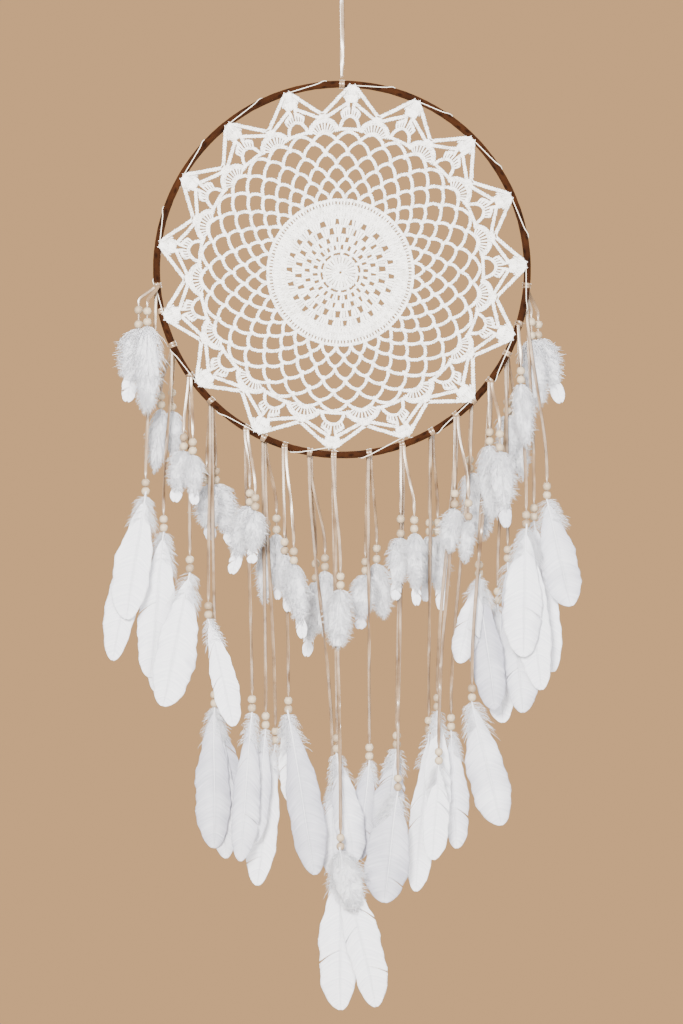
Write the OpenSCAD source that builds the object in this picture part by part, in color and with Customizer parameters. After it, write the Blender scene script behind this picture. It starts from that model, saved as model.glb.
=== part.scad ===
// Dream catcher: a crochet doily laced into a suede-wound hoop, hung from a satin
// ribbon, with eighteen dangles of satin ribbon, wooden beads and feathers.
// The origin is the middle of the peg that the ribbon loop hangs on. +Z is up,
// -Y is the front.

/* [Hoop] */
// Outer diameter of the hoop, over its suede
hoop_d = 400; // [390:5:500]
// Thickness of the hoop's tube, over its suede
tube_d = 7; // [6:0.5:9]
// Thickness of the bare steel ring inside the suede
core_d = 4; // [3:0.5:5]
// Gap between the ring and its suede
core_gap = 0.1; // [0.05:0.05:0.3]

/* [Doily] */
// Number of points on the doily
doily_points = 16; // [12:1:20]
// Thickness of the crochet
doily_t = 2.4; // [1.6:0.2:4]
// How far the valleys lie inside the points
valley_depth = 26; // [20:1:32]
// Diameter of the close-worked centre disc
disc_d = 154; // [120:2:160]
// Width of the ring of stitches at the edge of the centre disc
band_w = 18; // [12:1:20]
// Number of eyelets in the centre disc
eyelets = 22; // [12:1:28]
// Number of loops around the net
net_loops = 32; // [20:1:36]
// Turn of the doily in the hoop, clockwise seen from the front
doily_turn = 3.3; // [-8:0.1:8]
// How far the side points are pulled up the hoop, in degrees
doily_pull = 4.6; // [0:0.1:6]

/* [Lacing] */
// Diameter of the thread that laces the doily to the hoop
lacing_d = 1.2; // [0.8:0.1:1.6]
// Gap between the lacing and the points of the doily
lacing_gap = 0.4; // [0.2:0.1:1]

/* [Knots] */
// Width of each ribbon knot along the hoop
knot_w = 5.6; // [4:0.2:8]
// Thickness of the wound ribbon in a knot
knot_t = 1.2; // [0.8:0.1:1.6]

/* [Hanging ribbon] */
// Width of the hanging ribbon
hang_w = 5.3; // [4:0.1:8]
// Thickness of the doubled hanging ribbon
hang_t = 0.6; // [0.4:0.1:1]
// Height of the peg's middle above the top of the hoop
hang_drop = 130; // [110:5:250]
// Diameter of the peg that the loop hangs on
peg_d = 6; // [4:0.5:10]
// Height of the loop from the peg's middle to its knot
loop_h = 32; // [24:1:40]
// Diameter of the knot under the loop
loop_knot_d = 9; // [7:0.5:12]

/* [Strands] */
// Width of the dangles' ribbon
strand_w = 3.6; // [2.4:0.1:4.4]
// Thickness of the dangles' ribbon
strand_t = 0.5; // [0.3:0.1:0.6]
// Width of the ribbon where it is folded to pass a bead
fold_w = 2.2; // [1.4:0.1:2.4]
// Thickness of the ribbon where it is folded to pass a bead
fold_t = 1.2; // [0.8:0.1:1.4]

/* [Beads] */
// Diameter of the wooden beads
bead_d = 9; // [7:0.5:11]
// Diameter of the hole through each bead
bead_bore = 3.4; // [3:0.1:4]

/* [Feathers] */
// Thickness of a long feather's vane
goose_t = 3; // [2:0.2:4]
// Thickness of a short fluffy plume
fluff_t = 9; // [6:0.5:11]
// Gap between a feather and the bead above it
quill_gap = 0.4; // [0.3:0.1:2]
// Gap between pieces that hang one in front of another
layer_gap = 1.5; // [1:0.1:3]

/* [Hidden] */
$fn = 48;

hoop_z = -hang_drop - hoop_d / 2;
tube_r = tube_d / 2;
ring_r = hoop_d / 2 - tube_r;
lace_r = tube_r + lacing_d + 0.1;
tip_r = ring_r - lace_r - lacing_d / 2 - lacing_gap;
valley_r = tip_r - valley_depth;
knot_gap = 0.2;
knot_r = tube_r + knot_gap + knot_t;
bead_r = bead_d / 2;
bead_pitch = bead_d + 0.2;

// Depths of what hangs in front of the hoop's plane, or behind it, from the hoop out
long_y = max(knot_r, bead_r) + 1;
second_y = long_y + strand_t + 0.5;
first_short_y = second_y + strand_t + 0.4;
second_short_y = first_short_y + strand_t + 0.4;
fluff_pitch = max(fluff_t, bead_d) + layer_gap;
fluff_y = second_y + strand_t / 2 + 0.5 + max(fluff_t, bead_d) / 2;
goose_pitch = goose_t + layer_gap;
second_long_y = long_y + goose_pitch + goose_t / 2 + 0.7 + bead_r;
// The second long strand steps outwards over this height, above the first one's beads
step_h = 30;

// Each dangle: [knot's angle from straight down, side, short strands, long strands].
// Side is -1 in front of the hoop's plane and 1 behind it.
// A short strand: [shift at the beads, drop to the lower bead, spare gap between its
// beads, plume's length, width and lean].
// A long strand: [shift at the beads, drop to the lower bead, spare gap between its
// beads, [feather's length, width and lean] for each feather].
DANGLES = [
    [-85, -1,
        [[-19, 42, 6, 78, 36, -9], [-9, 40, 2, 96, 34, 0]],
        [[-12, 218, 0, [[178, 34, -11], [132, 40, -8]]]]],
    [-66, 1,
        [[-13, 63, 0, 70, 24, -6], [-2, 65, 6, 60, 22, 3]],
        [[-10, 194, 0, [[155, 42, -6], [170, 34, -3]]]]],
    [-55, -1,
        [[-6, 75, 0, 55, 28, -10], [4, 80, 0, 52, 24, 2]],
        [[0, 204, 0, [[144, 44, -12]]]]],
    [-45, 1,
        [[-5, 84, 0, 60, 30, 4], [4, 84, 0, 68, 34, 16]],
        [[-3, 227, 0, [[117, 28, 14]]],
            [3, 322, 0, [[150, 38, -1], [162, 32, 4], [124, 30, 9]]]]],
    [-31, -1,
        [[4, 78, 0, 74, 30, -15], [10, 83, 0, 55, 26, -4]],
        [[6, 296, 0, [[158, 30, -5]]]]],
    [-25, 1,
        [[3, 101, 0, 75, 20, -2], [13, 98, 3, 70, 20, 1]],
        [[2, 305, 0, [[120, 26, -5]]],
            [12, 322, 0, [[152, 32, -8]]]]],
    [-18, -1,
        [[0, 111, 0, 60, 22, 4], [10, 121, 0, 78, 26, 7]],
        [[4, 279, 0, [[96, 30, 2], [172, 38, 10]]]]],
    [-10, 1,
        [[16, 122, 0, 70, 24, -2], [6, 134, 6, 80, 26, -7]],
        [[24, 349, 6, [[96, 28, 2]]]]],
    [-2.5, -1,
        [[7, 138, 0, 66, 32, -3]],
        [[3, 311, 2, [[118, 32, 8]]],
            [7, 413, 0, [[168, 42, 1], [168, 38, 12], [68, 36, 14]]]]],
    [8.5, 1,
        [[-4, 125, 0, 58, 30, -6], [8, 113, 2, 62, 26, 8]],
        [[0, 322, 0, [[106, 30, -5]]]]],
    [19, -1,
        [[-2, 94, 6, 66, 26, -5], [12, 89, 0, 76, 22, 2]],
        [[-6, 317, 0, [[100, 34, -7]]],
            [-5, 361, 0, [[118, 48, -8]]]]],
    [29, 1,
        [[-2, 106, 0, 70, 22, -4], [7, 106, 0, 80, 26, 3]],
        [[-3, 316, 0, [[168, 30, -4]]]]],
    [38, -1,
        [[-2, 94, 2, 48, 28, -8], [12, 107, 5, 46, 17, -5]],
        [[-20, 308, 0, [[120, 28, 2]]],
            [-19, 364, 0, [[100, 28, -3]]]]],
    [45, 1,
        [[-3, 72, 0, 75, 34, 12]],
        [[-23, 346, 0, [[125, 28, 3]]]]],
    [53, -1,
        [[-1, 64, 0, 84, 34, 3], [9, 71, 5, 80, 32, 5]],
        [[-12, 204, 0, [[140, 36, 6], [92, 28, -13]]],
            [-20, 334, 0, [[134, 42, 13]]]]],
    [63, 1,
        [[1, 60, 0, 62, 26, 3], [8, 64, 3, 68, 24, 9]],
        [[1, 217, 0, [[160, 38, 5]]],
            [-9, 262, 0, [[126, 34, 3]]]]],
    [73, -1,
        [[1, 60, 0, 70, 24, 5]],
        [[7, 212, 0, [[172, 36, 6], [136, 42, -2]]]]],
    [85, 1,
        [[6, 52, 5, 76, 32, 6], [14, 51, 2, 72, 34, 20]],
        [[22, 222, 0, [[116, 40, 13]]],
            [9, 245, 0, [[162, 34, 8]]]]],
];
// Angles of the plain ribbon wraps that carry no dangle; the last holds the hoop up
WRAPS = [-77, 180];

COUNT = len(DANGLES);
function two_digits(n) = n < 10 ? str("0", n) : str(n);
function dangle_node(kind, i) = str(kind, "_", two_digits(i + 1));

// Angle clockwise from the top at which a point of an even doily is laced
function laced(angle) = angle + doily_turn - doily_pull * sin(angle);

function smooth(t) = let (c = min(1, max(0, t))) c * c * (3 - 2 * c);
function knot_point(angle) = [ring_r * sin(angle), 0, hoop_z - ring_r * cos(angle)];

// Faces of a tube of rings with the given sides, open to be closed by its two ends
function tube_faces(rings, sides) = [
    for (i = [0:rings - 2], j = [0:sides - 1])
        [i * sides + j, i * sides + (j + 1) % sides, (i + 1) * sides + (j + 1) % sides, (i + 1) * sides + j]
];
function end_faces(rings, sides) = [
    [for (j = [0:sides - 1]) sides - 1 - j],
    [for (j = [0:sides - 1]) (rings - 1) * sides + j]
];

// Outlines of the feathers, from the quill at the origin down to the tip
function goose_half(t, w) = max(0.9, w / 2 * pow(sin(180 * pow(t, 1.2)), 0.75));
function fluff_half(t, w) = max(1.6, w / 2 * pow(sin(180 * pow(t, 0.8)), 0.6));
STATIONS = [0, 0.1, 0.22, 0.38, 0.55, 0.72, 0.86, 0.95, 1];

module goose_outline(length, width) {
    polygon(concat(
        [for (t = STATIONS) [goose_half(t, width), -length * t]],
        [for (k = [len(STATIONS) - 1:-1:0]) [-goose_half(STATIONS[k], width), -length * STATIONS[k]]]
    ));
}

module fluff_outline(length, width) {
    polygon(concat(
        [for (t = STATIONS) [fluff_half(t, width), -length * t]],
        [for (k = [len(STATIONS) - 1:-1:0]) [-fluff_half(STATIONS[k], width), -length * STATIONS[k]]]
    ));
}

// Stands a flat outline upright in the hoop's plane, with its thickness along Y
module upright(thickness) {
    rotate([90, 0, 0])
        linear_extrude(thickness, center = true)
            children();
}

// Lays a shape made around the Z axis in the hoop's plane, about the hoop's centre
module in_hoop() {
    translate([0, 0, hoop_z])
        rotate([90, 0, 0])
            children();
}

module hanging_ribbon() {
    seat_r = peg_d / 2;
    leg_w = 0.3 * loop_knot_d;
    knot_z = -loop_h;
    ribbon_end = -hang_drop + knot_r - tube_r + 0.4;
    color("linen") {
        // the bight over the peg and the two legs of the loop
        rotate([90, 0, 0])
            linear_extrude(hang_w, center = true) {
                difference() {
                    circle(seat_r + hang_t);
                    circle(seat_r);
                    translate([-2 * seat_r, -4 * seat_r])
                        square([4 * seat_r, 4 * seat_r]);
                }
                for (side = [-1, 1])
                    polygon([
                        [side * seat_r, 0.01],
                        [side * (seat_r + hang_t), 0.01],
                        [side * leg_w, knot_z],
                        [side * (leg_w - hang_t), knot_z],
                    ]);
            }
        translate([0, 0, knot_z])
            sphere(d = loop_knot_d);
        // the ribbon from the knot to the hoop, drawn in where it meets the wrap
        upright(hang_t)
            polygon([
                [-hang_w / 2, knot_z],
                [hang_w / 2, knot_z],
                [hang_w / 2, ribbon_end + 18],
                [0.32 * hang_w, ribbon_end],
                [-0.32 * hang_w, ribbon_end],
                [-hang_w / 2, ribbon_end + 18],
            ]);
    }
}

module hoop_core() {
    color("silver")
        in_hoop()
            rotate_extrude()
                translate([ring_r, 0])
                    circle(d = core_d);
}

module hoop_suede() {
    color("saddlebrown")
        in_hoop()
            rotate_extrude()
                translate([ring_r, 0])
                    difference() {
                        circle(tube_r);
                        circle(core_d / 2 + core_gap);
                    }
}

module crochet_doily() {
    step = 360 / doily_points;
    net_in = disc_d / 2;
    net_w = valley_r - 8 - net_in;
    color("ivory")
        in_hoop()
            linear_extrude(doily_t, center = true)
                difference() {
                    polygon([
                        for (i = [0:doily_points - 1]) for (half = [0, 1])
                            let (r = half == 0 ? tip_r : valley_r, a = 90 - laced((i + half / 2) * step))
                                [r * cos(a), r * sin(a)]
                    ]);
                    // the arched opening under each point
                    for (i = [0:doily_points - 1])
                        rotate(90 - laced(i * step))
                            translate([valley_r + 0.1 * valley_depth, 0])
                                circle(0.22 * valley_depth);
                    // the loops of the net, each row half a loop round from the last
                    for (row = [0:2])
                        for (k = [0:net_loops - 1])
                            rotate((k + row / 2) * 360 / net_loops)
                                translate([net_in + (row + 0.5) * net_w / 3, 0])
                                    circle(1.3 * (net_in + (row + 0.5) * net_w / 3) / net_loops);
                    // the eyelets inside the band of the centre disc
                    for (k = [0:eyelets - 1])
                        rotate(k * 360 / eyelets)
                            translate([net_in - band_w - 5, 0])
                                circle(2);
                }
}

module lacing_thread() {
    rings_per_point = 8;
    rings = doily_points * rings_per_point;
    sides = 8;
    // position round the hoop, and round the tube from its inner side by the front
    function centre(i) =
        let (a = laced(360 * i / rings), f = 180 - 360 * i / rings_per_point, r = ring_r + lace_r * cos(f))
            [r * sin(a), -lace_r * sin(f), r * cos(a)];
    function unit(v) = v / norm(v);
    points = [
        for (i = [0:rings - 1])
            let (
                here = centre(i),
                along = unit(centre(i + 1) - centre(i - 1)),
                across = unit(cross(along, [here[0], 0, here[2]])),
                out = cross(along, across)
            )
                for (j = [0:sides - 1])
                    here + lacing_d / 2 * (cos(360 * j / sides) * across + sin(360 * j / sides) * out)
                        + [0, 0, hoop_z]
    ];
    faces = [
        for (i = [0:rings - 1], j = [0:sides - 1])
            let (a = i * sides, b = ((i + 1) % rings) * sides, k = (j + 1) % sides)
                [a + j, b + j, b + k, a + k]
    ];
    color("linen")
        polyhedron(points, faces);
}

module ribbon_knots() {
    span = 180 / PI * knot_w / ring_r;
    color("linen")
        in_hoop()
            for (angle = concat([for (d = DANGLES) d[0]], WRAPS))
                rotate(angle - 90 - span / 2)
                    rotate_extrude(angle = span)
                        translate([ring_r, 0])
                            difference() {
                                circle(knot_r);
                                circle(tube_r + knot_gap);
                            }
}

// Place of a strand at a given drop below its knot
function strand_x(knot, start, shift, drop, top) = knot[0] + start + (shift - start) * smooth(drop / top);
function strand_y(side, from, to, drop, begin, end) =
    side * (from + (to - from) * smooth((drop - begin) / (end - begin)));

// A flat ribbon from its knot to the lower bead, folded narrow through both beads
module strand(knot, side, start, shift, lower, spare, y_from, y_to, step_from, step_to) {
    top = lower - bead_pitch - spare - bead_r;
    flat_end = top - 5;
    spans = max(2, ceil(flat_end / 24));
    drops = concat([for (i = [0:spans]) flat_end * i / spans], [top - 2, lower + bead_r - 1]);
    rings = len(drops);
    points = [
        for (d = drops)
            let (
                w = (d > flat_end ? fold_w : strand_w) / 2,
                t = (d > flat_end ? fold_t : strand_t) / 2,
                x = strand_x(knot, start, shift, d, flat_end),
                y = strand_y(side, y_from, y_to, d, step_from, min(step_to, flat_end)),
                z = knot[2] - d
            )
                for (corner = [[-1, -1], [1, -1], [1, 1], [-1, 1]])
                    [x + corner[0] * w, y + corner[1] * t, z]
    ];
    polyhedron(points, concat(tube_faces(rings, 4), end_faces(rings, 4)));
}

// Drop at which the second long strand has stepped clear of the first one's beads
function step_end(first) = first[1] - bead_pitch - first[2] - bead_r - 4;

module ribbons(i) {
    d = DANGLES[i];
    knot = knot_point(d[0]);
    side = d[1];
    color("linen") {
        for (k = [0:len(d[2]) - 1])
            let (s = d[2][k], y0 = k == 0 ? first_short_y : second_short_y)
                strand(knot, side, 3 * k - 1.5, s[0], s[1], s[2], y0, fluff_y + k * fluff_pitch, 0, s[1]);
        for (k = [0:len(d[3]) - 1])
            let (s = d[3][k], end = step_end(d[3][0]))
                strand(knot, side, 2 * k - 1, s[0], s[1], s[2], k == 0 ? long_y : second_y,
                    k == 0 ? long_y : second_long_y, end - step_h, end);
    }
}

module bead(x, y, z) {
    translate([x, y, z])
        difference() {
            sphere(bead_r);
            cylinder(h = 2 * bead_d, d = bead_bore, center = true);
        }
}

module beads(i) {
    d = DANGLES[i];
    knot = knot_point(d[0]);
    color("burlywood") {
        for (k = [0:len(d[2]) - 1])
            for (up = [0, bead_pitch + d[2][k][2]])
                bead(knot[0] + d[2][k][0], d[1] * (fluff_y + k * fluff_pitch), knot[2] - d[2][k][1] + up);
        for (k = [0:len(d[3]) - 1])
            for (up = [0, bead_pitch + d[3][k][2]])
                bead(knot[0] + d[3][k][0], d[1] * (k == 0 ? long_y : second_long_y),
                    knot[2] - d[3][k][1] + up);
    }
}

module feathers(i) {
    d = DANGLES[i];
    knot = knot_point(d[0]);
    side = d[1];
    below = bead_r + quill_gap;
    color("white") {
        for (k = [0:len(d[2]) - 1])
            let (s = d[2][k])
                translate([knot[0] + s[0], side * (fluff_y + k * fluff_pitch), knot[2] - s[1] - below])
                    upright(fluff_t)
                        rotate(s[5])
                            fluff_outline(s[3], s[4]);
        for (k = [0:len(d[3]) - 1])
            let (s = d[3][k], y = k == 0 ? long_y : second_long_y)
                for (n = [0:len(s[3]) - 1])
                    translate([knot[0] + s[0], side * (y + n * goose_pitch), knot[2] - s[1] - below])
                        upright(goose_t)
                            rotate(s[3][n][2])
                                goose_outline(s[3][n][0], s[3][n][1]);
    }
}

hanging_ribbon();
hoop_core();
hoop_suede();
crochet_doily();
lacing_thread();
ribbon_knots();
for (i = [0:COUNT - 1]) {
    ribbons(i);
    beads(i);
    feathers(i);
}
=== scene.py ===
"""A dream catcher: a crochet doily laced into a suede-wound hoop, hung from a satin ribbon, with
eighteen dangles of satin ribbon, wooden beads, long goose feathers and fluffy plumes. Sizes are
worked out in millimetres and the meshes are made in metres."""
import math

import bpy
import numpy as np
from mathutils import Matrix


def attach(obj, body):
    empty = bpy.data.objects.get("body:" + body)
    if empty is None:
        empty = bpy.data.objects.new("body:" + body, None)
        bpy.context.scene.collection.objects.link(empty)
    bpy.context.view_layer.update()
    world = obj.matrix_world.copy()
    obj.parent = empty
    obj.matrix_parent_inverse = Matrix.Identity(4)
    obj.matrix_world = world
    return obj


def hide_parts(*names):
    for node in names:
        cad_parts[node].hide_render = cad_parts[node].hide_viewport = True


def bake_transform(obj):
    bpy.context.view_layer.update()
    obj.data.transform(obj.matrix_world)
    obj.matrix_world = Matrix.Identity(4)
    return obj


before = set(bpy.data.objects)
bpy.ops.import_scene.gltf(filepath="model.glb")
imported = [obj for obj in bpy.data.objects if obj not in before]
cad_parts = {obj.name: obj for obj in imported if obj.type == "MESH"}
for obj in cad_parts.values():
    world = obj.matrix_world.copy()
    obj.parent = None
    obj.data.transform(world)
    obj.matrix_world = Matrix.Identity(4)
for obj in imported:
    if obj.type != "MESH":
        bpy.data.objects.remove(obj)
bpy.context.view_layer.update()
bpy.ops.object.select_all(action="DESELECT")

MM = 0.001
# The hoop, its middle and its tube
HOOP_Z, RING_R, TUBE_R = -330.0, 196.5, 3.5
# The hanging ribbon, its loop over the peg, the height of its wrap on the hoop, and how far the middle
# of the loop's ribbon runs from the peg
HANG_W, LOOP_H, PEG_R, WRAP_Z, OFF_PEG = 5.3, 32.0, 3.0, -128.2, 0.33
# The lacing thread: its radius, how far its middle lies from the tube, and one twist of its plies
LACE_R, LACE_OFF, LACE_LAY = 0.50, 0.80, 4.2
FULL_TURN = 6.28
# The strands of the dangles, laid flat and folded through their beads, and the beads
STRAND_W, STRAND_T, FOLD_W, FOLD_T = 3.6, 0.32, 2.2, 1.2
BEAD_R, BEAD_PITCH = 4.5, 9.2
# A bead's bore and the outside of its rim, as degrees from its axis
BORE_DEG, RIM_DEG = 17, 24
# How far the layers of a dangle hang from the hoop's plane
LONG_Y, SECOND_Y, SHORT_YS = 5.9, 6.9, (7.8, 8.7)
FLUFF_Y, FLUFF_PITCH, SECOND_LONG_Y, GOOSE_PITCH = 12.15, 10.5, 17.1, 4.5
QUILL_GAP, STEP_H = 0.4, 30.0

# Each dangle: its knot's angle from straight down, its side (-1 in front), its short strands with their
# plumes [shift, drop, spare, length, width, lean], and its long strands
# [shift, drop, spare, feathers [length, width, lean]]
DANGLES = [
    [-85, -1, [[-19, 42, 6, 78, 36, -9], [-9, 40, 2, 96, 34, 0]],
     [[-12, 218, 0, [[178, 34, -11], [132, 40, -8]]]]],
    [-66, 1, [[-13, 63, 0, 70, 24, -6], [-2, 65, 6, 60, 22, 3]],
     [[-10, 194, 0, [[155, 42, -6], [170, 34, -3]]]]],
    [-55, -1, [[-6, 75, 0, 55, 28, -10], [4, 80, 0, 52, 24, 2]],
     [[0, 204, 0, [[144, 44, -12]]]]],
    [-45, 1, [[-5, 84, 0, 60, 30, 4], [4, 84, 0, 68, 34, 16]],
     [[-3, 227, 0, [[117, 28, 14]]], [3, 322, 0, [[150, 38, -1], [162, 32, 4], [124, 30, 9]]]]],
    [-31, -1, [[4, 78, 0, 74, 30, -15], [10, 83, 0, 55, 26, -4]],
     [[6, 296, 0, [[158, 30, -5]]]]],
    [-25, 1, [[3, 101, 0, 75, 20, -2], [13, 98, 3, 70, 20, 1]],
     [[2, 305, 0, [[120, 26, -5]]], [12, 322, 0, [[152, 32, -8]]]]],
    [-18, -1, [[0, 111, 0, 60, 22, 4], [10, 121, 0, 78, 26, 7]],
     [[4, 279, 0, [[96, 30, 2], [172, 38, 10]]]]],
    [-10, 1, [[16, 122, 0, 70, 24, -2], [6, 134, 6, 80, 26, -7]],
     [[24, 349, 6, [[96, 28, 2]]]]],
    [-2.5, -1, [[7, 138, 0, 66, 32, -3]],
     [[3, 311, 2, [[118, 32, 8]]], [7, 413, 0, [[168, 42, 1], [168, 38, 12], [68, 36, 14]]]]],
    [8.5, 1, [[-4, 125, 0, 58, 30, -6], [8, 113, 2, 62, 26, 8]],
     [[0, 322, 0, [[106, 30, -5]]]]],
    [19, -1, [[-2, 94, 6, 66, 26, -5], [12, 89, 0, 76, 22, 2]],
     [[-6, 317, 0, [[100, 34, -7]]], [-5, 361, 0, [[118, 48, -8]]]]],
    [29, 1, [[-2, 106, 0, 70, 22, -4], [7, 106, 0, 80, 26, 3]],
     [[-3, 316, 0, [[168, 30, -4]]]]],
    [38, -1, [[-2, 94, 2, 48, 28, -8], [12, 107, 5, 46, 17, -5]],
     [[-20, 308, 0, [[120, 28, 2]]], [-19, 364, 0, [[100, 28, -3]]]]],
    [45, 1, [[-3, 72, 0, 75, 34, 12]],
     [[-23, 346, 0, [[125, 28, 3]]]]],
    [53, -1, [[-1, 64, 0, 84, 34, 3], [9, 71, 5, 80, 32, 5]],
     [[-12, 204, 0, [[140, 36, 6], [92, 28, -13]]], [-20, 334, 0, [[134, 42, 13]]]]],
    [63, 1, [[1, 60, 0, 62, 26, 3], [8, 64, 3, 68, 24, 9]],
     [[1, 217, 0, [[160, 38, 5]]], [-9, 262, 0, [[126, 34, 3]]]]],
    [73, -1, [[1, 60, 0, 70, 24, 5]],
     [[7, 212, 0, [[172, 36, 6], [136, 42, -2]]]]],
    [85, 1, [[6, 52, 5, 76, 32, 6], [14, 51, 2, 72, 34, 20]],
     [[22, 222, 0, [[116, 40, 13]]], [9, 245, 0, [[162, 34, 8]]]]],
]
# Plain ribbon wraps that carry no dangle; the last one holds the hoop up
WRAPS = [-77, 180]


# ---------------------------------------------------------------- making and placing

def smooth(t):
    c = np.clip(t, 0.0, 1.0)
    return c * c * (3 - 2 * c)


def unit(v):
    return v / np.maximum(np.linalg.norm(v, axis=-1, keepdims=True), 1e-12)


def mesh_of(name, points, faces, uv=None, fields=None):
    """A smooth mesh from points in millimetres and lists of three- and four-sided faces."""
    faces = [np.asarray(f, np.int32) for f in faces if len(f)]
    corners = np.concatenate([f.ravel() for f in faces])
    sizes = np.concatenate([np.full(len(f), f.shape[1], np.int32) for f in faces])
    mesh = bpy.data.meshes.new(name)
    mesh.vertices.add(len(points))
    mesh.vertices.foreach_set("co", (np.asarray(points, float) * MM).astype(np.float32).ravel())
    mesh.loops.add(len(corners))
    mesh.loops.foreach_set("vertex_index", corners)
    mesh.polygons.add(len(sizes))
    mesh.polygons.foreach_set("loop_start", np.concatenate([[0], np.cumsum(sizes)[:-1]]).astype(np.int32))
    mesh.polygons.foreach_set("use_smooth", np.ones(len(sizes), bool))
    if uv is not None:
        layer = mesh.uv_layers.new(name="weave")
        layer.data.foreach_set("uv", np.asarray(uv, np.float32)[corners].ravel())
    for key, values in (fields or {}).items():
        mesh.attributes.new(key, "FLOAT", "POINT").data.foreach_set("value", np.asarray(values, np.float32))
    mesh.update(calc_edges=True)
    mesh.validate()
    return mesh


def finished(name, mesh, finish, slot, body, *nodes):
    """A piece of the object: it wears a finish, rides on a body and stands for the CAD nodes."""
    piece = bpy.data.objects.new(name, mesh)
    bpy.context.collection.objects.link(piece)
    mesh.materials.clear()
    mesh.materials.append(finish)
    if nodes:
        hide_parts(*nodes)
    if body:
        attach(piece, body)
    return piece


def outward(points, faces):
    """The faces of one closed shape, turned to point outwards."""
    size = 0.0
    for f in faces:
        a = points[f[:, 0]]
        for k in range(1, f.shape[1] - 1):
            size += np.einsum("ij,ij->i", a, np.cross(points[f[:, k]], points[f[:, k + 1]])).sum()
    return faces if size > 0 else [f[:, ::-1] for f in faces]


class Gather:
    """Points, faces and their fields, gathered from many shapes into one mesh."""

    def __init__(self):
        self.points, self.faces, self.uv, self.tone, self.count = [], {3: [], 4: []}, [], [], 0

    def add(self, points, faces, uv=None, tone=0.5):
        points = np.asarray(points, float).reshape(-1, 3)
        for f in outward(points, [np.asarray(f, np.int32) for f in faces if len(f)]):
            self.faces[f.shape[1]].append(f + self.count)
        self.points.append(points)
        self.uv.append(np.zeros((len(points), 2)) if uv is None else np.asarray(uv, float).reshape(-1, 2))
        self.tone.append(np.broadcast_to(tone, len(points)))
        self.count += len(points)

    def mesh(self, name):
        faces = [np.concatenate(f) for f in self.faces.values() if f]
        return mesh_of(name, np.concatenate(self.points), faces, np.concatenate(self.uv),
                       {"tone": np.concatenate(self.tone)})


def grid_faces(rows, columns, closed_rows=False, closed_columns=True):
    """Four-sided faces between rows of points, each row a ring when closed_columns."""
    i = np.arange(rows if closed_rows else rows - 1)
    j = np.arange(columns if closed_columns else columns - 1)
    a, b = np.meshgrid(i, j, indexing="ij")
    a, b = a.ravel(), b.ravel()
    up, on = (a + 1) % rows, (b + 1) % columns
    return np.stack([a * columns + b, a * columns + on, up * columns + on, up * columns + b], 1)


def fan_faces(ring, flip=False):
    """Three-sided faces that close a ring of point numbers."""
    f = [[ring[0], ring[k], ring[k + 1]] for k in range(1, len(ring) - 1)]
    return np.array([x[::-1] for x in f] if flip else f, np.int32)


def swept(line, across, out, half_w, half_t, section):
    """Points and faces of a closed strip swept along a line. section is a ring of (across, out) pairs."""
    n, m = len(line), len(section)
    w, t = np.broadcast_to(half_w, n)[:, None, None], np.broadcast_to(half_t, n)[:, None, None]
    points = (line[:, None] + across[:, None] * section[None, :, :1] * w
              + out[:, None] * section[None, :, 1:] * t)
    faces = [grid_faces(n, m), fan_faces(range(m), True), fan_faces(range((n - 1) * m, n * m))]
    return points.reshape(-1, 3), faces


def along(line):
    """Length along a line at each of its points."""
    return np.concatenate([[0], np.cumsum(np.linalg.norm(np.diff(line, axis=0), axis=1))])


def evenly(line, pitch):
    """The same line with its points evenly spaced, about pitch apart."""
    s = along(line)
    t = np.linspace(0, s[-1], max(2, int(round(s[-1] / pitch)) + 1))
    return np.stack([np.interp(t, s, line[:, k]) for k in range(3)], 1)


# ---------------------------------------------------------------- finishes

def new_finish(name, colour, roughness):
    material = bpy.data.materials.new(name)
    material.use_nodes = True
    tree = material.node_tree
    shader = tree.nodes["Principled BSDF"]
    shader.inputs["Base Color"].default_value = (*colour, 1)
    shader.inputs["Roughness"].default_value = roughness
    return material, tree, shader


def put(tree, kind, inputs=None, **settings):
    made = tree.nodes.new(kind)
    for key, value in settings.items():
        setattr(made, key, value)
    for key, value in (inputs or {}).items():
        if isinstance(value, bpy.types.NodeSocket):
            tree.links.new(value, made.inputs[key])
        else:
            made.inputs[key].default_value = value
    return made


def own_place(tree, stretch=(1, 1, 1), kind="Object"):
    place = put(tree, "ShaderNodeTexCoord")
    return put(tree, "ShaderNodeMapping", {"Vector": place.outputs[kind], "Scale": stretch}).outputs["Vector"]


def speckle(tree, vector, scale, detail=3.0, roughness=0.55):
    return put(tree, "ShaderNodeTexNoise", {"Vector": vector, "Scale": scale, "Detail": detail,
                                            "Roughness": roughness}).outputs["Fac"]


def blend_of(tree, share, low, high):
    """A colour between two, by a share from 0 to 1."""
    ramp = put(tree, "ShaderNodeValToRGB", {"Fac": share})
    ramp.color_ramp.elements[0].color = (*low, 1)
    ramp.color_ramp.elements[1].color = (*high, 1)
    ramp.color_ramp.elements[0].position = 0.3
    ramp.color_ramp.elements[1].position = 0.7
    return ramp.outputs["Color"]


def multiply(tree, a, b, share=1.0):
    mix = tree.nodes.new("ShaderNodeMix")
    mix.data_type, mix.blend_type = "RGBA", "MULTIPLY"
    mix.inputs[0].default_value = share
    tree.links.new(a, mix.inputs[6])
    tree.links.new(b, mix.inputs[7])
    return mix.outputs[2]


def bump(tree, shader, height, strength, depth):
    made = put(tree, "ShaderNodeBump", {"Height": height, "Strength": strength, "Distance": depth})
    tree.links.new(made.outputs["Normal"], shader.inputs["Normal"])
    return made


def tone_of(tree):
    """The tone given to each stitch, bead, barb or turn of lace; on the suede and the goose vanes it also
    carries painted shade.
    """
    return put(tree, "ShaderNodeAttribute", attribute_name="tone").outputs["Fac"]


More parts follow.
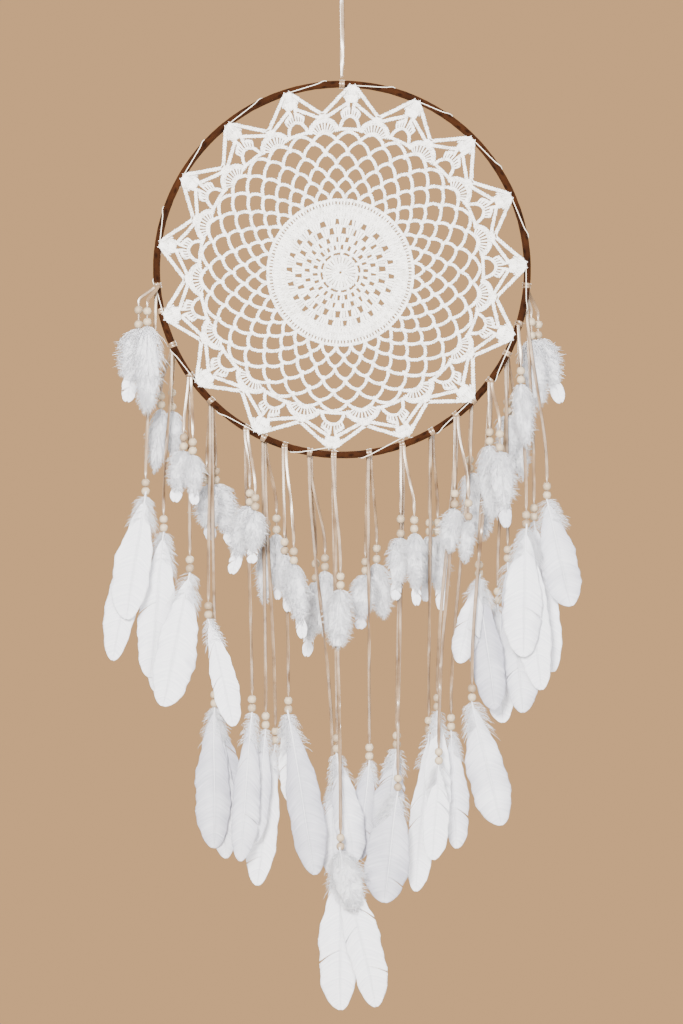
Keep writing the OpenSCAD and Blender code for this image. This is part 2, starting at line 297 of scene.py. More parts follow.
def gloss_between(tree, shader, share, low, high):
    """Roughness between two values, by a share from 0 to 1."""
    gloss = put(tree, "ShaderNodeMapRange", {"Value": share, "To Min": low, "To Max": high})
    tree.links.new(gloss.outputs[0], shader.inputs["Roughness"])


def add_up(tree, a, b, share):
    """a times a share, plus b."""
    return put(tree, "ShaderNodeMath", {0: a, 1: share, 2: b}, operation="MULTIPLY_ADD").outputs[0]


def satin_finish():
    """Champagne satin: glossy, with warp threads along the ribbon and soft changes of shade."""
    material, tree, shader = new_finish("champagne_satin", (0.80, 0.71, 0.58), 0.33)
    shade = speckle(tree, own_place(tree), 55.0, 2.0)
    warp = speckle(tree, own_place(tree, (1.0, 0.02, 1.0), "UV"), 2600.0, 2.0)
    tone = blend_of(tree, shade, (0.115, 0.062, 0.028), (0.27, 0.175, 0.098))
    thread = blend_of(tree, warp, (0.80, 0.78, 0.75), (1.0, 1.0, 1.0))
    tree.links.new(multiply(tree, tone, thread), shader.inputs["Base Color"])
    gloss_between(tree, shader, warp, 0.22, 0.36)
    shader.inputs["Specular IOR Level"].default_value = 0.9
    shader.inputs["Specular Tint"].default_value = (1.0, 0.95, 0.88, 1)
    shader.inputs["Anisotropic"].default_value = 0.4
    bump(tree, shader, warp, 0.35, 0.0001)
    return material


def suede_finish():
    """Dark brown suede lace with a soft nap, worn a little lighter in places."""
    material, tree, shader = new_finish("dark_brown_suede", (0.09, 0.035, 0.015), 0.92)
    nap = speckle(tree, own_place(tree), 2400.0, 4.0, 0.7)
    worn = speckle(tree, own_place(tree), 38.0, 3.0)
    base = blend_of(tree, worn, (0.016, 0.005, 0.0016), (0.038, 0.0122, 0.0037))
    tint = tone_of(tree)
    # The lap tone is lowest where one turn of lace meets the next; edge darkens the suede there, painted
    # shade in the groove between turns
    edge = blend_of(tree, tint, (0.45, 0.42, 0.40), (1.0, 1.0, 1.0))
    fine = blend_of(tree, nap, (0.78, 0.76, 0.74), (1.0, 1.0, 1.0))
    tree.links.new(multiply(tree, multiply(tree, base, edge), fine), shader.inputs["Base Color"])
    shader.inputs["Sheen Weight"].default_value = 0.05
    shader.inputs["Sheen Roughness"].default_value = 0.5
    shader.inputs["Sheen Tint"].default_value = (0.75, 0.42, 0.25, 1)
    shader.inputs["Specular IOR Level"].default_value = 0.06
    bump(tree, shader, nap, 0.6, 0.0002)
    return material


def cotton_finish(name, low, high, fibre):
    """Soft spun cotton: matt, with fibres and a slight change of shade from stitch to stitch."""
    material, tree, shader = new_finish(name, high, 0.85)
    tint = tone_of(tree)
    cloud = speckle(tree, own_place(tree), 42.0, 2.0)
    hair = speckle(tree, own_place(tree), fibre, 4.0, 0.7)
    stitch = blend_of(tree, add_up(tree, cloud, tint, 0.35), low, high)
    fuzz = blend_of(tree, hair, (0.86, 0.85, 0.84), (1.0, 1.0, 1.0))
    tree.links.new(multiply(tree, stitch, fuzz), shader.inputs["Base Color"])
    shader.inputs["Sheen Weight"].default_value = 0.3
    shader.inputs["Specular IOR Level"].default_value = 0.25
    bump(tree, shader, hair, 0.7, 0.00025)
    return material


def bead_finish():
    """Pale unvarnished wood with fine grain along the bead's bore."""
    material, tree, shader = new_finish("pale_bead_wood", (0.80, 0.69, 0.52), 0.52)
    grain = speckle(tree, own_place(tree, (1.0, 1.0, 0.16)), 900.0, 4.0, 0.65)
    wave = {"Vector": own_place(tree, (1.0, 0.8, 0.1)), "Scale": 330.0, "Distortion": 5.0, "Detail": 2.0,
            "Detail Scale": 1.5}
    rings = put(tree, "ShaderNodeTexWave", wave).outputs["Fac"]
    tint = tone_of(tree)
    wood = blend_of(tree, tint, (0.25, 0.17, 0.098), (0.45, 0.355, 0.24))
    line = blend_of(tree, add_up(tree, rings, grain, 0.5), (0.80, 0.72, 0.62), (1.0, 1.0, 1.0))
    tree.links.new(multiply(tree, wood, line, 0.8), shader.inputs["Base Color"])
    gloss_between(tree, shader, grain, 0.45, 0.65)
    bump(tree, shader, grain, 0.25, 0.0001)
    return material


def feather_finish(name, low, high, streak, through):
    """White feather: soft, a little light passes through it, with fine barbs that run out from the shaft."""
    material, tree, shader = new_finish(name, high, 0.55)
    barbs = speckle(tree, own_place(tree, (0.05, 1.0, 1.0), "UV"), streak, 3.0, 0.6)
    cloud = speckle(tree, own_place(tree), 30.0, 2.0)
    tint = tone_of(tree)
    wide = blend_of(tree, add_up(tree, cloud, tint, 0.4), low, high)
    bands = speckle(tree, own_place(tree, (0.05, 1.0, 1.0), "UV"), streak * 0.25, 2.0)
    fine = multiply(tree, blend_of(tree, barbs, (0.84, 0.84, 0.87), (1.0, 1.0, 1.0)),
                    blend_of(tree, bands, (0.84, 0.84, 0.87), (1.0, 1.0, 1.0)))
    colour = multiply(tree, wide, fine)
    tree.links.new(colour, shader.inputs["Base Color"])
    shader.inputs["Sheen Weight"].default_value = 0.35
    shader.inputs["Sheen Roughness"].default_value = 0.4
    shader.inputs["Specular IOR Level"].default_value = 0.35
    made = bump(tree, shader, barbs, 0.5, 0.0002)
    passed = put(tree, "ShaderNodeBsdfTranslucent", {"Color": colour, "Normal": made.outputs["Normal"]})
    mixed = put(tree, "ShaderNodeMixShader", {"Fac": through, 1: shader.outputs["BSDF"],
                                              2: passed.outputs[0]})
    tree.links.new(mixed.outputs[0], tree.nodes["Material Output"].inputs["Surface"])
    return material


def steel_finish():
    """Plain drawn steel wire with faint draw marks."""
    material, tree, shader = new_finish("drawn_steel", (0.55, 0.55, 0.56), 0.35)
    marks = speckle(tree, own_place(tree), 700.0, 4.0)
    steel = blend_of(tree, marks, (0.46, 0.46, 0.47), (0.62, 0.62, 0.63))
    tree.links.new(steel, shader.inputs["Base Color"])
    gloss_between(tree, shader, marks, 0.28, 0.48)
    shader.inputs["Metallic"].default_value = 1.0
    bump(tree, shader, marks, 0.15, 0.0001)
    return material


SATIN = satin_finish()
SUEDE = suede_finish()
COTTON = cotton_finish("white_crochet_cotton", (0.66, 0.635, 0.59), (0.93, 0.91, 0.88), 2600.0)
LACING = cotton_finish("cream_lacing_cotton", (0.66, 0.57, 0.44), (0.86, 0.79, 0.67), 3200.0)
BEAD_WOOD = bead_finish()
# On the vanes the low colour, a lilac grey, is where the darker feathers go and where painted shade darkens
# each vane toward its edges
VANE = feather_finish("goose_feather_white", (0.50, 0.495, 0.55), (0.97, 0.97, 0.98), 1500.0, 0.25)
DOWN = feather_finish("marabou_white", (0.89, 0.89, 0.91), (0.99, 0.99, 0.99), 900.0, 0.42)
STEEL = steel_finish()


# ---------------------------------------------------------------- camera, lights and floor

def add_camera():
    away, seen = 2.8, 1.0854
    data = bpy.data.cameras.new("camera")
    data.sensor_width = 36.0
    data.lens = 36.0 * away / seen
    camera = bpy.data.objects.new("camera", data)
    camera.location = (-0.0005, -away, -0.587)
    camera.rotation_euler = (math.pi / 2, 0, 0)
    bpy.context.collection.objects.link(camera)
    bpy.context.scene.camera = camera


def add_light(name, place, towards, size, power, colour):
    data = bpy.data.lights.new(name, "AREA")
    data.shape, data.size, data.energy, data.color = "DISK", size, power, colour
    light = bpy.data.objects.new(name, data)
    light.location = place
    aim = np.array(towards, float) - np.array(place, float)
    flat = math.hypot(aim[0], aim[1])
    light.rotation_euler = (math.pi / 2 - math.atan2(-aim[2], flat), 0, math.atan2(-aim[0], aim[1]))
    bpy.context.collection.objects.link(light)


def add_studio():
    add_light("key", (-0.55, -2.6, 0.30), (0.0, 0.0, -0.5), 0.8, 300.0, (1.0, 0.98, 0.95))
    add_light("fill", (1.3, -2.3, -0.5), (0.0, 0.0, -0.6), 2.2, 92.0, (0.97, 0.985, 1.0))
    add_light("back", (0.3, 1.9, 0.3), (0.0, 0.0, -0.6), 1.8, 95.0, (1.0, 0.98, 0.95))
    world = bpy.data.worlds.new("studio")
    bpy.context.scene.world = world
    world.use_nodes = True
    tree = world.node_tree
    tree.nodes.clear()
    seen = put(tree, "ShaderNodeBackground", {"Color": (0.80, 0.46, 0.21, 1), "Strength": 1.0})
    fill = put(tree, "ShaderNodeBackground", {"Color": (1.0, 0.985, 0.97, 1), "Strength": 0.72})
    path = put(tree, "ShaderNodeLightPath")
    pick = put(tree, "ShaderNodeMixShader", {"Fac": path.outputs["Is Camera Ray"], 1: fill.outputs[0],
                                             2: seen.outputs[0]})
    out = put(tree, "ShaderNodeOutputWorld")
    tree.links.new(pick.outputs[0], out.inputs["Surface"])
    bpy.ops.mesh.primitive_cylinder_add(vertices=96, radius=1.0, depth=0.02, location=(0, 0, -1.36))
    floor = bpy.context.object
    floor.name = "floor"
    bpy.ops.object.transform_apply(location=True, rotation=True, scale=True)
    material, tree, shader = new_finish("pale_floor", (0.72, 0.66, 0.58), 0.8)
    grain = speckle(tree, own_place(tree), 6.0)
    pale = blend_of(tree, grain, (0.70, 0.64, 0.56), (0.74, 0.68, 0.60))
    tree.links.new(pale, shader.inputs["Base Color"])
    floor.data.materials.append(material)


add_camera()


# ---------------------------------------------------------------- ribbons

def flat_section(bow=0.0):
    """A thin closed section, slightly bowed, as pairs (across, out) from -1 to 1."""
    u = np.linspace(-1, 1, 5)
    low = np.stack([u, -np.sqrt(np.clip(1 - 0.75 * u ** 4, 0.05, 1)) - bow * (1 - u * u)], 1)
    back = u[::-1]
    high = np.stack([back, np.sqrt(np.clip(1 - 0.75 * back ** 4, 0.05, 1)) - bow * (1 - back ** 2)], 1)
    return np.concatenate([low, high])


def ribbon_mesh(name, line, across, out, half_w, half_t):
    section = flat_section()
    points, faces = swept(line, across, out, half_w, half_t, section)
    s = along(line)
    half_w = np.broadcast_to(half_w, len(line))[:, None]
    uv = np.stack(np.broadcast_arrays(section[None, :, 0] * half_w * MM, s[:, None] * MM), -1).reshape(-1, 2)
    return mesh_of(name, points, outward(points, faces), uv)


def knot_point(angle):
    a = math.radians(angle)
    return np.array([RING_R * math.sin(a), 0.0, HOOP_Z - RING_R * math.cos(a)])


def strand_route(angle, side, start, shift, lower, spare, y_from, y_to, step_from, step_to):
    """The middle line of one strand from its knot down to its lower bead, and where it is folded narrow."""
    knot = knot_point(angle)
    top = lower - BEAD_PITCH - spare - BEAD_R
    flat_end = top - 5
    drops = np.concatenate([np.linspace(0, flat_end, max(4, int(flat_end / 2.2))), [top - 3.4, top - 2],
                            np.linspace(top, lower + BEAD_R - 1, 8)])
    share = smooth(drops / flat_end)
    x = knot[0] + start + (shift - start) * share
    step = smooth((drops - step_from) / (min(step_to, flat_end) - step_from))
    y = side * (y_from + (y_to - y_from) * step)
    narrow = smooth((drops - flat_end + 1.5) / 5.0)
    return np.stack([x, y, knot[2] - drops], 1), drops, flat_end, narrow


def strand(name, body, node, angle, side, route, twist, rng):
    """One satin strand: flat, gently turning about its own line, and folded narrow through its beads."""
    line, drops, flat_end, narrow = strand_route(angle, side, *route)
    free = smooth((drops - 8) / 50) * smooth((flat_end - drops) / 18)
    phase = rng.uniform(0, FULL_TURN, 3)
    turn = twist * free * (0.75 * np.sin(drops / rng.uniform(26, 40) + phase[0])
                           + 0.45 * np.sin(drops / rng.uniform(11, 17) + phase[1]))
    down = unit(np.gradient(line, axis=0))
    side_way = unit(np.cross(down, np.array([0.0, 1.0, 0.0]) + 0 * down))
    front = np.cross(side_way, down)
    across = side_way * np.cos(turn)[:, None] + front * np.sin(turn)[:, None]
    out = np.cross(across, down)
    half_w = (STRAND_W + (FOLD_W - STRAND_W) * narrow) / 2
    half_t = (STRAND_T + (FOLD_T - STRAND_T) * narrow) / 2
    mesh = ribbon_mesh(name, line, across, out, half_w, half_t)
    piece = finished(name, mesh, SATIN, "satin_ribbon", body, node)
    return piece, line


def step_end(first):
    return first[1] - BEAD_PITCH - first[2] - BEAD_R - 4


def strands():
    """All strands of the eighteen dangles. The long ones are made first, then the short ones."""
    rng = np.random.default_rng(7)
    for i, (angle, side, short, long) in enumerate(DANGLES):
        tag, body = f"{i + 1:02d}", f"dangle_{i + 1:02d}"
        node = f"ribbons_{tag}"
        for k, s in enumerate(long):
            end = step_end(long[0])
            route = (2 * k - 1, s[0], s[1], s[2], SECOND_Y if k else LONG_Y, SECOND_LONG_Y if k else LONG_Y,
                     end - STEP_H, end)
            twist = 0.9 if len(long) == 1 else 0.45
            piece, line = strand(f"long_strand_{tag}_{k + 1}", body, node, angle, side, route, twist, rng)
        for k, s in enumerate(short):
            route = (3 * k - 1.5, s[0], s[1], s[2], SHORT_YS[k], FLUFF_Y + k * FLUFF_PITCH, 0, s[1])
            piece, line = strand(f"short_strand_{tag}_{k + 1}", body, node, angle, side, route, 0.6, rng)


def hanging_ribbon():
    """The flat ribbon from the hoop up to its knot, and the loop over the peg."""
    rise = np.linspace(WRAP_Z + 2.0, -LOOP_H - 1.5, 60)
    line = np.stack([0.35 * np.sin(rise / 17.0), 0.25 * np.sin(rise / 23.0), rise], 1)
    turn = 0.28 * np.sin(rise / 14.0) * smooth((rise - WRAP_Z - 8) / 20) * smooth((-LOOP_H - 6 - rise) / 12)
    across = np.stack([np.cos(turn), np.sin(turn), 0 * turn], 1)
    out = np.stack([np.sin(turn), -np.cos(turn), 0 * turn], 1)
    share = smooth((rise - WRAP_Z - 2) / 18) * smooth((-LOOP_H - 2.0 - rise) / 5)
    half_w = HANG_W / 2 * (0.62 + 0.38 * share)
    mesh = ribbon_mesh("hanging_ribbon_flat", line, across, out, half_w, 0.30 + 0.15 * (1 - share))
    piece = finished("hanging_ribbon_flat", mesh, SATIN, "satin_ribbon", None, "hanging_ribbon")
    # the loop: up one side, over the peg and down the other side to the knot
    r = PEG_R + OFF_PEG
    arc = np.linspace(math.pi, 0, 25)
    leg = np.linspace(0, 1, 20)[:, None]
    left = np.array([[-1.6, 0, -LOOP_H + 1.0]]) * (1 - leg) + np.array([[-r, 0, 0.0]]) * leg
    left[:, 0] -= 0.7 * np.sin(math.pi * leg[:, 0])
    over = np.stack([r * np.cos(arc), 0 * arc, r * np.sin(arc)], 1)
    right = left[::-1] * np.array([-1, 1, 1])
    loop = np.concatenate([left[:-1], over, right[1:]])
    way = unit(np.gradient(loop, axis=0))
    deep = np.tile(np.array([0.0, 1.0, 0.0]), (len(loop), 1))
    wide = HANG_W / 2 * (0.66 + 0.34 * smooth((loop[:, 2] + LOOP_H) / 14))
    ring = finished("hanging_loop", ribbon_mesh("hanging_loop", loop, deep, np.cross(deep, way), wide, 0.28),
                    SATIN, "satin_ribbon", "hanger", "hanging_ribbon")
    knot = loop_knot()
    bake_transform(piece)


def loop_knot():
    """The overhand knot under the loop: three turns of ribbon drawn tight."""
    t = np.linspace(0, 2 * math.pi, 97)[:-1]
    line = np.stack([2.0 * (np.sin(t) + 1.55 * np.sin(2 * t)) * 0.62, 1.5 * np.sin(3 * t),
                     2.0 * (np.cos(t) - 1.55 * np.cos(2 * t)) * 0.62], 1)
    way = unit(np.roll(line, -1, 0) - np.roll(line, 1, 0))
    face = unit(line + np.array([0, -0.001, 0]))
    across = unit(np.cross(way, face))
    section = flat_section(0.35)
    n, m = len(line), len(section)
    points = (line[:, None] + across[:, None] * section[None, :, :1] * 1.75
              + np.cross(across, way)[:, None] * section[None, :, 1:] * 0.55 + np.array([0, 0, -LOOP_H]))
    uv = np.stack(np.broadcast_arrays(section[None, :, 0] * 1.7 * MM, along(line)[:, None] * MM), -1)
    uv = uv.reshape(-1, 2)
    points = points.reshape(-1, 3)
    mesh = mesh_of("loop_knot", points, outward(points, [grid_faces(n, m, True)]), uv)
    return finished("loop_knot", mesh, SATIN, "satin_ribbon", "hanger", "hanging_ribbon")


# ---------------------------------------------------------------- modelled once, then copied

def take_shape(piece):
    """The points and faces of a modelled shape in millimetres, which is then put away."""
    mesh = piece.data
    points = np.empty(len(mesh.vertices) * 3)
    mesh.vertices.foreach_get("co", points)
    faces = [np.array([p.vertices[:] for p in mesh.polygons if len(p.vertices) == n], np.int32)
             for n in (3, 4)]
    bpy.data.objects.remove(piece)
    bpy.data.meshes.remove(mesh)
    points = points.reshape(-1, 3) / MM
    return points, outward(points, [f for f in faces if len(f)])


def join_selected(active):
    bpy.context.view_layer.objects.active = active
    bpy.ops.object.join()
    bpy.ops.object.transform_apply(location=True, rotation=True, scale=True)
    return bpy.context.object


def chain_stitch():
    """One chain stitch, 1 mm long along X and 1 mm wide: two plump leaves that part from one end, as a V."""
    leaves = []
    for side in (-1, 1):
        bpy.ops.object.select_all(action="DESELECT")
        bpy.ops.mesh.primitive_uv_sphere_add(segments=5, ring_count=4, radius=0.5 * MM,
                                             rotation=(0, math.pi / 2, 0))
        leaf = bpy.context.object
        bpy.ops.object.transform_apply(location=False, rotation=True, scale=False)
        leaf.scale = (1.62, 0.56, 0.95)
        leaf.rotation_euler = (0, 0, side * 0.30)
        leaf.location = (0.52 * MM, side * 0.235 * MM, 0)
        leaves.append(leaf)
    for leaf in leaves:
        leaf.select_set(True)
    return take_shape(join_selected(leaves[0]))


def tall_stitch():
    """One tall stitch, 1 mm long along X and 1 mm wide: a twisted two-ply post with a slanting wrap."""
    bpy.ops.object.select_all(action="DESELECT")
    bpy.ops.mesh.primitive_circle_add(vertices=6, radius=0.36 * MM, fill_type="NGON")
    post = bpy.context.object
    bpy.ops.object.mode_set(mode="EDIT")
    bpy.ops.transform.resize(value=(1.0, 0.66, 1.0))
    for rise, grow in ((0.22, 1.12), (0.26, 1.06), (0.26, 1.08), (0.26, 0.98)):
        bpy.ops.mesh.extrude_region_move(TRANSFORM_OT_translate={"value": (0, 0, rise * MM)})
        bpy.ops.transform.rotate(value=0.62, orient_axis="Z", center_override=(0, 0, 0))
        bpy.ops.transform.resize(value=(grow, grow, 1.0))
    bpy.ops.mesh.select_all(action="SELECT")
    bpy.ops.mesh.quads_convert_to_tris()
    bpy.ops.mesh.tris_convert_to_quads()
    bpy.ops.object.mode_set(mode="OBJECT")
    post.rotation_euler = (0, math.pi / 2, 0)
    bpy.ops.object.select_all(action="DESELECT")
    bpy.ops.mesh.primitive_uv_sphere_add(segments=5, ring_count=4, radius=0.5 * MM,
                                         rotation=(math.pi / 2, 0, 0))
    wrap = bpy.context.object
    bpy.ops.object.transform_apply(location=False, rotation=True, scale=False)
    wrap.scale = (0.26, 1.0, 0.8)
    wrap.rotation_euler = (0, 0, 0.62)
    wrap.location = (0.56 * MM, 0, 0.08 * MM)
    post.select_set(True)
    return take_shape(join_selected(post))


def lay(gather, shape, starts, ends, fronts, width, depth, tones):
    """Lays copies of a shape of unit length from starts to ends, their faces to the front."""
    points, faces = shape
    x = ends - starts
    y = unit(np.cross(fronts, x))
    z = unit(np.cross(x, y))
    w = np.broadcast_to(width, len(x))[:, None, None]
    d = np.broadcast_to(depth, len(x))[:, None, None]
    placed = (starts[:, None] + x[:, None] * points[None, :, :1] + y[:, None] * points[None, :, 1:2] * w
              + z[:, None] * points[None, :, 2:] * d)
    count, n = len(x), len(points)
    shift = (np.arange(count) * n)[:, None, None]
    for f in faces:
        gather.faces[f.shape[1]].append((f[None] + shift).reshape(-1, f.shape[1]) + gather.count)
    gather.points.append(placed.reshape(-1, 3))
    gather.uv.append(np.zeros((count * n, 2)))
    gather.tone.append(np.repeat(np.broadcast_to(tones, count), n))
    gather.count += count * n


# ---------------------------------------------------------------- beads

def wooden_bead():
    """One round bead: a ball with its poles taken off, bored through, and its rims eased."""
    bpy.ops.object.select_all(action="DESELECT")
    bpy.ops.mesh.primitive_uv_sphere_add(segments=20, ring_count=16, radius=BEAD_R * MM)
    bead = bpy.context.object
    bpy.ops.object.mode_set(mode="EDIT")
    bpy.ops.mesh.select_all(action="DESELECT")
    bpy.ops.object.mode_set(mode="OBJECT")
    for vertex in bead.data.vertices:
        vertex.select = abs(vertex.co.z) > BEAD_R * MM * math.cos(math.radians(BORE_DEG))
    bpy.ops.object.mode_set(mode="EDIT")
    bpy.ops.mesh.delete(type="VERT")
    bpy.ops.mesh.select_all(action="DESELECT")
    bpy.ops.mesh.select_mode(type="EDGE")
    bpy.ops.mesh.select_non_manifold()
    bpy.ops.mesh.bridge_edge_loops()
    bpy.ops.mesh.select_all(action="DESELECT")
    bpy.ops.object.mode_set(mode="OBJECT")
    rim_z = BEAD_R * MM * math.cos(math.radians(RIM_DEG))
    rim = [v.index for v in bead.data.vertices if abs(v.co.z) > rim_z]
    for edge in bead.data.edges:
        a, b = edge.vertices
        same_end = bead.data.vertices[a].co.z * bead.data.vertices[b].co.z > 0
        edge.select = a in rim and b in rim and same_end
    bpy.ops.object.mode_set(mode="EDIT")
    bpy.ops.mesh.bevel(offset=0.28 * MM, segments=2)
    bpy.ops.object.mode_set(mode="OBJECT")
    return take_shape(bead)


def turned(points, tilt, spin):
    """Points turned about their middle: spun about Z, then tipped about X and Y."""
    c, s = math.cos(spin), math.sin(spin)
    points = points @ np.array([[c, s, 0], [-s, c, 0], [0, 0, 1]])
    cx, sx, cy, sy = math.cos(tilt[0]), math.sin(tilt[0]), math.cos(tilt[1]), math.sin(tilt[1])
    points = points @ np.array([[1, 0, 0], [0, cx, sx], [0, -sx, cx]])
    return points @ np.array([[cy, 0, -sy], [0, 1, 0], [sy, 0, cy]])


def strung_beads():
    shape, faces = wooden_bead()
    rng = np.random.default_rng(21)
    for i, (angle, side, short, long) in enumerate(DANGLES):
        knot, gather = knot_point(angle), Gather()
        rows = [(s, FLUFF_Y + k * FLUFF_PITCH) for k, s in enumerate(short)]
        rows += [(s, SECOND_LONG_Y if k else LONG_Y) for k, s in enumerate(long)]
        for s, y in rows:
            for up in (0, BEAD_PITCH + s[2]):
                place = np.array([knot[0] + s[0], side * y, knot[2] - s[1] + up])
                bead = turned(shape * rng.uniform(0.965, 1.0, 3), rng.uniform(-0.09, 0.09, 2),
                              rng.uniform(0, FULL_TURN))
                gather.add(bead + place, faces, tone=rng.uniform(0.35, 1.0))
        tag = f"{i + 1:02d}"
        finished(f"wooden_beads_{tag}", gather.mesh(f"wooden_beads_{tag}"), BEAD_WOOD, "bead_wood",
                 f"dangle_{tag}", f"beads_{tag}")


# ---------------------------------------------------------------- hoop, knots and lacing

def suede_winding():
    """Suede lace wound edge to edge round the ring: each turn laps a little over the last."""
    bpy.ops.object.select_all(action="DESELECT")
    turns, minor = 152, 20
    major = turns * 7
    bpy.ops.mesh.primitive_torus_add(major_segments=major, minor_segments=minor, major_radius=RING_R * MM,
                                     minor_radius=TUBE_R * MM, location=(0, 0, HOOP_Z * MM),
                                     rotation=(math.pi / 2, 0, 0))
    hoop = bpy.context.object
    hoop.name = "suede_winding"
    bpy.ops.object.transform_apply(location=True, rotation=True, scale=True)
    mesh = hoop.data
    co = np.empty(len(mesh.vertices) * 3)
    mesh.vertices.foreach_get("co", co)
    co = co.reshape(-1, 3) / MM
    x, z = co[:, 0], co[:, 2] - HOOP_Z
    round_hoop, out = np.arctan2(x, z), np.hypot(x, z)
    tube = np.arctan2(-co[:, 1], out - RING_R)
    rng = np.random.default_rng(3)
    wander = sum(rng.uniform(0.02, 0.07) * np.sin(k * round_hoop + rng.uniform(0, FULL_TURN))
                 for k in (3, 7, 13, 29))
    phase = (round_hoop * turns / (2 * math.pi) + tube / (2 * math.pi) + wander) % 1.0
    lap = smooth(phase / 0.18) * (1 - 0.35 * phase) - smooth((phase - 0.94) / 0.06) * 0.5
    uneven = (0.10 * np.sin(17 * round_hoop + 2.0) + 0.08 * np.sin(41 * round_hoop)
              + 0.05 * np.sin(97 * round_hoop))
    r = TUBE_R - 0.05 + 0.38 * lap + 0.5 * uneven
    co = np.stack([(RING_R + r * np.cos(tube)) * np.sin(round_hoop), -r * np.sin(tube),
                   HOOP_Z + (RING_R + r * np.cos(tube)) * np.cos(round_hoop)], 1)
    mesh.vertices.foreach_set("co", (co * MM).astype(np.float32).ravel())
    # The tone follows the lap, lowest where one turn meets the next; the suede finish darkens it there as
    # painted shade in the groove between turns
    tone = mesh.attributes.new("tone", "FLOAT", "POINT")
    tone.data.foreach_set("value", np.clip(lap, 0, 1).astype(np.float32))
    bpy.ops.object.shade_smooth()
    mesh.update()
    mesh.materials.clear()
    mesh.materials.append(SUEDE)
    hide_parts("hoop_suede")
    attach(hoop, "hoop")


def ribbon_band():
    """One turn of satin ribbon round the hoop's tube, its axis along X and its middle at the origin."""
    bpy.ops.object.select_all(action="DESELECT")
    bpy.ops.mesh.primitive_cylinder_add(vertices=28, radius=4.1 * MM, depth=2.7 * MM, end_fill_type="NOTHING",
                                        rotation=(0, math.pi / 2, 0))
    band = bpy.context.object
    bpy.ops.object.transform_apply(location=False, rotation=True, scale=False)
    wall = band.modifiers.new("wall", "SOLIDIFY")
    wall.thickness, wall.offset = 0.5 * MM, 0.0
    bpy.ops.object.modifier_apply(modifier="wall")
    eased = band.modifiers.new("eased", "BEVEL")
    eased.width, eased.segments, eased.limit_method = 0.18 * MM, 2, "ANGLE"
    bpy.ops.object.modifier_apply(modifier="eased")
    return take_shape(band)


def crossing_bar():
    """The bight of the knot that lies across both turns, on the front of the tube."""
    bpy.ops.object.select_all(action="DESELECT")
    bpy.ops.mesh.primitive_cube_add(size=1.0 * MM)
    bar = bpy.context.object
    bpy.ops.object.mode_set(mode="EDIT")
    bpy.ops.mesh.subdivide(number_cuts=5)
    bpy.ops.object.mode_set(mode="OBJECT")
    points, faces = take_shape(bar)
    x, y, z = (2 * points).T
    half = 3.0 * (1 - 0.10 * z ** 2)
    f = 0.34 * z - 0.25
    r = 4.65 + 0.38 * y * np.sqrt(np.clip(1 - 0.85 * x ** 4, 0.05, 1)) - 0.35 * np.abs(x) ** 3
    return np.stack([half * x, -r * np.cos(f), r * np.sin(f)], 1), faces


def ribbon_knots():
    """A lark's head at each dangle: two turns round the hoop and a bight across them. Plain wraps
    elsewhere."""
    band, band_faces = ribbon_band()
    bar, bar_faces = crossing_bar()
    rng = np.random.default_rng(5)
    gather = Gather()
    for angle, side in [(d[0], d[1]) for d in DANGLES] + [(a, 0) for a in WRAPS]:
        a = math.radians(angle)
        along_hoop = np.array([math.cos(a), 0.0, math.sin(a)])
        out = np.array([math.sin(a), 0.0, -math.cos(a)])
        frame_of = np.stack([along_hoop, np.array([0.0, 1.0, 0.0]), -out])
        middle = knot_point(angle)
        tone = rng.uniform(0.4, 0.8)
        for s in (-1, 1):
            lean = rng.uniform(-0.06, 0.06) + 0.05 * s
            shape = band + band[:, 2:3] * np.array([[lean, 0, 0]])
            shape = shape * np.array([1.0, 1.0 + 0.012 * s, 1.0 + 0.012 * s]) + np.array([s * 1.45, 0, 0])
            gather.add(shape @ frame_of + middle, band_faces, tone=tone)
        if side:
            shape = bar * np.array([1, -side, 1]) + np.array([[0, 0, rng.uniform(-0.3, 0.1)]])
            gather.add(shape @ frame_of + middle, bar_faces, tone=tone)
    mesh = gather.mesh("ribbon_knots_tied")
    finished("ribbon_knots_tied", mesh, SATIN, "satin_ribbon", "hoop", "ribbon_knots")


